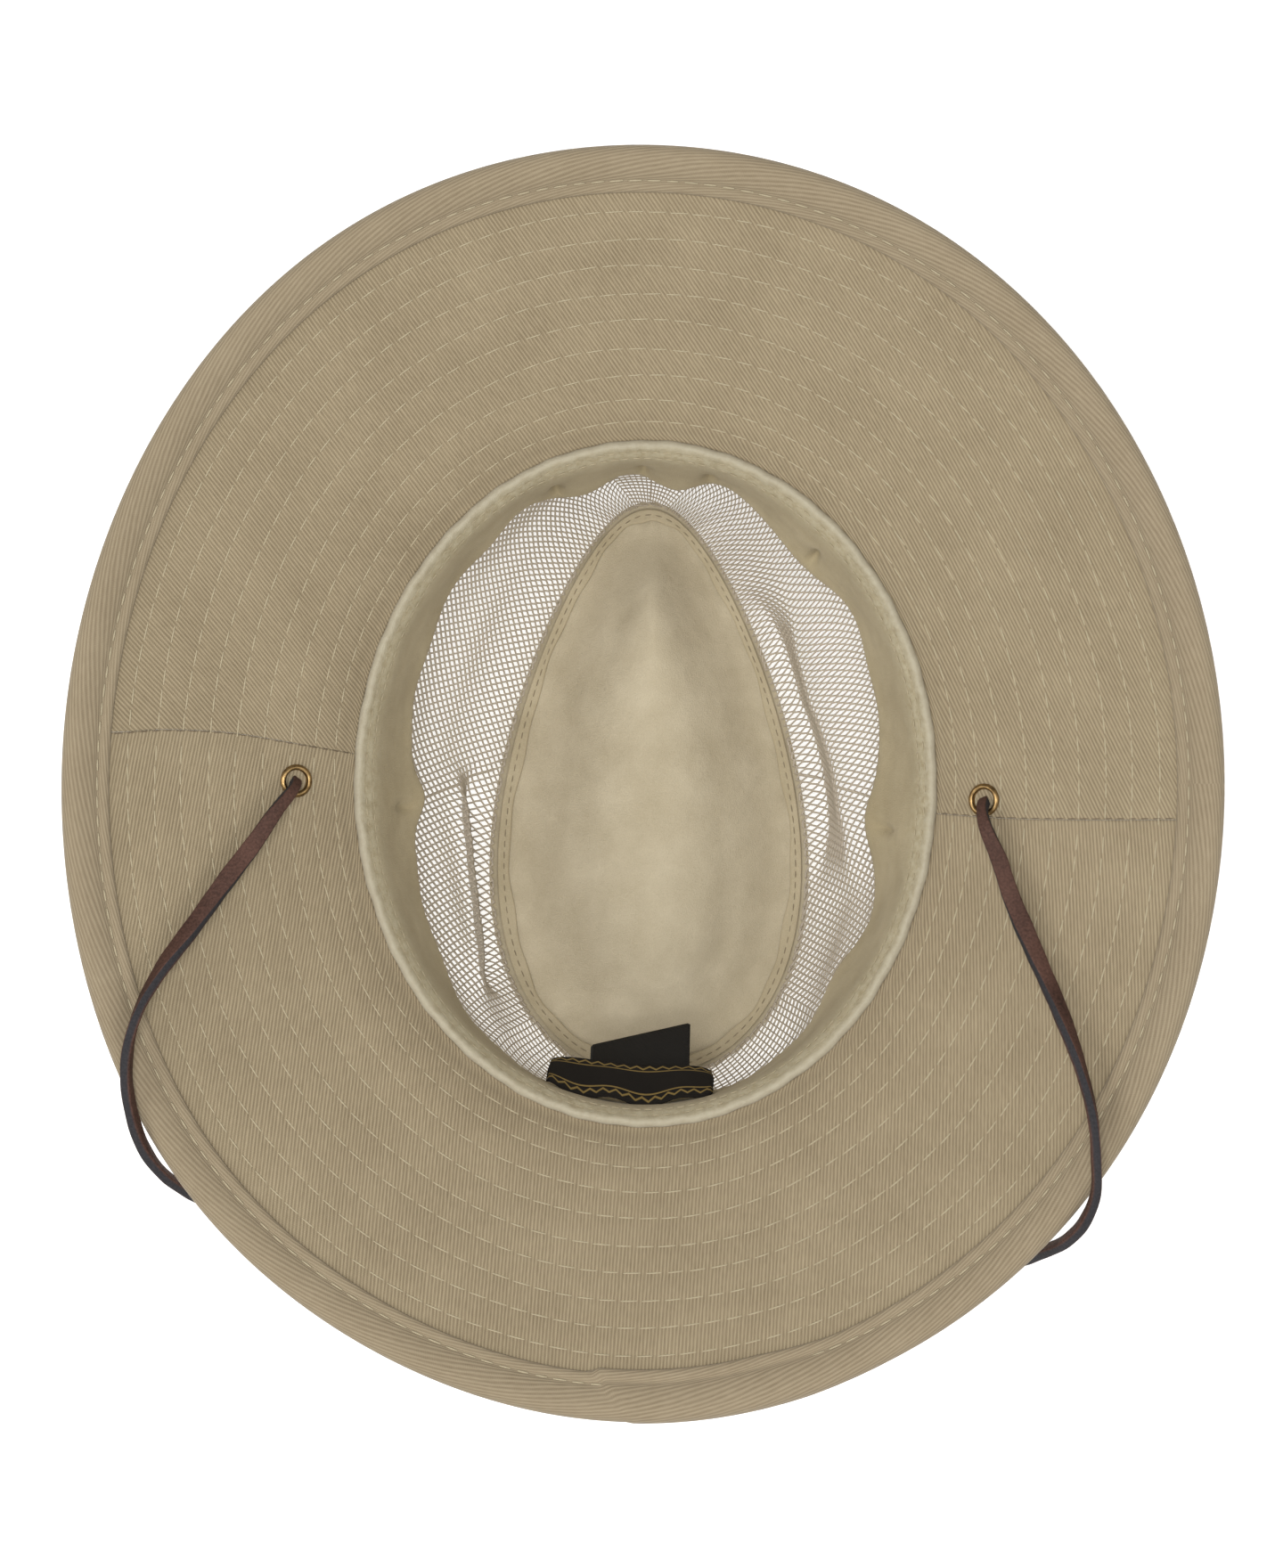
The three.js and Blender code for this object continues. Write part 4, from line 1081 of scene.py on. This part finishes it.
# The sewn upper edge is rubbed paler than the rest, most of all along its crest
tree = band_paint.node_tree
shader = tree.nodes["Principled BSDF"]
plain_cotton = shader.inputs["Base Color"].links[0].from_socket
profile_row = channel(coordinates(tree, "UV"), "Y")
marks = speckle(coordinates(tree), 420, 3, 0.7)
rubbed = reckon("MULTIPLY", spread(profile_row, 0.26, 0.42, 0.8, 0), spread(marks, 0.3, 0.62))
rubbed_cotton = blend(rubbed, plain_cotton, (0.5, 0.445, 0.305, 1))
crest = spread(profile_row, 0.12, 0.2, 0.6, 0)
coloured(shader, crest, rubbed_cotton, (0.4, 0.365, 0.285, 1))
finished(sweatband, band_paint, "band_cotton", "sweatband")
for row_name, share_at in (("upper", 0.07), ("lower", 0.15)):
    fine = np.linspace(0, 360, 1200)
    line = band_face(fine, np.full(1200, share_at), np.full(1200, 0.8 * mm))
    middles, along, share = stitch_places(line, band_pitch)
    up = square_to(-away(2 * math.pi * share), along)
    name = f"band_stitches_{row_name}"
    sewn(name, middles, along, up, band_stitch, thread_half_width * 0.9, pale_thread, "band_cotton")

# Labels.
# A woven size label lies on the back of the sweatband, and a ribbon tab hangs below it into the crown.
label_around = 266.2
label_top = 0.42
label_width = 52 * mm
label_height = 19 * mm
label_thickness = 0.7 * mm
label_off = 0.9 * mm
label_lean = 0.52
label_rows = 24
tab_around = 267.8
tab_width = 30 * mm
tab_length = 27 * mm
tab_thickness = 0.55 * mm
tab_lean = 0.65
tab_twist = 0.012
tab_rows = 20
# The length of a degree at the back of the band
degree_wide = math.radians(1) * 82.5 * mm


def cloth_slip(u, v, rows, thickness):
    """Shares down a slip of cloth, and how far its front face stands out there, which its cut edges don't."""
    row, side = there_and_back(v, rows)
    raised = (side > 0) & (u > 0) & (u < 1) & (row > 0)
    return row / rows, np.where(raised, thickness, 0)


def label_surface(u, v):
    down, thick = cloth_slip(u, v, label_rows, label_thickness)
    across = (u - 0.5) * label_width
    pointed = np.sqrt(np.clip(1 - np.abs(2 * u - 1) ** 2.6, 0, 1))
    hem = 1.1 * mm * np.sin(2 * math.pi * (2.4 * u + 0.3)) * pointed
    around = label_around + across / degree_wide
    top = band_face(around, np.full(len(u), label_top), np.full(len(u), label_off))
    hang = label_height * down
    lean = label_lean * (0.35 + 0.65 * pointed)
    top[:, 1] += hang * lean + hem * (1 - down) + 0.7 * mm * np.sin(math.pi * down) + thick
    top[:, 2] -= hang * np.sqrt(1 - lean**2) + 2 * mm * (1 - pointed) * (1 - down)
    return top


label = laid_grid("label_weave", 60, 2 * label_rows + 1, label_surface)
# Its woven border: a row of points and a line inside each long edge
label_paint, tree, shader = painted("label_weave")
across = channel(coordinates(tree, "UV"), "X")
down = reckon("MULTIPLY", channel(coordinates(tree, "UV"), "Y"), 2)
teeth = reckon("PINGPONG", reckon("MULTIPLY", across, 26), 1)
from_edge = reckon("MINIMUM", down, reckon("SUBTRACT", 1, down))
points = reckon("MULTIPLY_ADD", teeth, 0.09, 0.07)
zigzag = reckon("ABSOLUTE", reckon("SUBTRACT", from_edge, points))
chevrons = spread(zigzag, 0.018, 0.03, 1, 0)
rule = reckon("ABSOLUTE", reckon("SUBTRACT", from_edge, 0.22))
rules = spread(rule, 0.012, 0.02, 1, 0)
gold = reckon("MAXIMUM", chevrons, rules)
pick = reckon("SINE", reckon("MULTIPLY", down, 300))
gold = reckon("MULTIPLY", gold, spread(pick, -0.6, 0.6, 0.45, 1))
coloured(shader, gold, (0.012, 0.01, 0.008, 1), (0.32, 0.22, 0.07, 1))
constants(shader, {"Roughness": 0.8, "Specular IOR Level": 0.12})
bumped(shader, reckon("ADD", pick, gold), 0.06 * mm)
finished(label, label_paint, "label", "woven_label")


def tab_surface(u, v):
    down, thick = cloth_slip(u, v, tab_rows, tab_thickness)
    offset = (u - 0.5) * tab_width / degree_wide
    lean = tab_lean + offset * tab_twist
    start = band_middle(np.full(len(u), tab_around), np.ones(len(u)))
    start[:, 0] += (u - 0.5) * tab_width
    hang = tab_length * down
    curl = 1.2 * mm * np.sin(math.pi * down) * (u - 0.2)
    start[:, 1] += hang * lean + 1.5 * mm + curl + thick
    start[:, 2] -= 0.3 * mm + hang * math.sqrt(1 - tab_lean**2)
    return start


tab = laid_grid("care_tab_ribbon", 40, 2 * tab_rows + 1, tab_surface)
tab_paint, tree, shader = painted("tab_ribbon")
ribs = reckon("SINE", reckon("MULTIPLY", channel(coordinates(tree, "UV"), "Y"), 700))
constants(shader, {"Base Color": (0.009, 0.008, 0.007, 1), "Roughness": 0.6, "Specular IOR Level": 0.2})
bumped(shader, ribs, 0.04 * mm)
finished(tab, tab_paint, "label", "care_tab")

# Eyelets.
# Two rolled rings of antique brass line the holes that the lace passes through, near the side seams.
eyelet_sides = 48
# Where each eyelet lies: the place round the hat, and the share of the brim's run
eyelet_places = {"left": (179.6, 0.2065), "right": (-2.4, 0.1766)}
# Half the ring's section, as radii and heights in mm, which the other half mirrors
eyelet_profile = np.array([
    (3.1, 0.9), (3.16, 1.5), (3.4, 1.95), (3.8, 2.15), (4.25, 2.05), (4.6, 1.75), (4.78, 1.4), (4.7, 1.2),
    (4.2, 1.2), (3.6, 1.1),
])
eyelet_profile = np.concatenate([eyelet_profile, (eyelet_profile * [1, -1])[::-1]]) * mm
brass, tree, shader = painted("antique_brass")
tarnish = speckle(coordinates(tree), 500, 4, 0.6)
coloured(shader, spread(tarnish, 0.4, 0.7), (0.36, 0.235, 0.1, 1), (0.14, 0.085, 0.035, 1))
constants(shader, {"Metallic": 1, "Roughness": 0.34})
for side_name, (around, out) in eyelet_places.items():
    middle = brim_middle(np.array([around]), np.array([out]))[0]
    axis = facing(brim_middle, np.array([around]), np.array([out]))[0]
    sideways = unit(np.cross(axis, [0, 1, 0]))
    forwards = np.cross(axis, sideways)

    def ring_surface(u, v):
        j = np.round(v * len(eyelet_profile)).astype(int) % len(eyelet_profile)
        angle = 2 * math.pi * u[:, None]
        radius, height = eyelet_profile[j, :1], eyelet_profile[j, 1:]
        return middle + radius * (sideways * np.cos(angle) + forwards * np.sin(angle)) + height * axis

    ring = laid_grid(f"eyelet_{side_name}_brass", eyelet_sides, len(eyelet_profile), ring_surface)
    finished(ring, brass, "brass", f"eyelet_{side_name}")
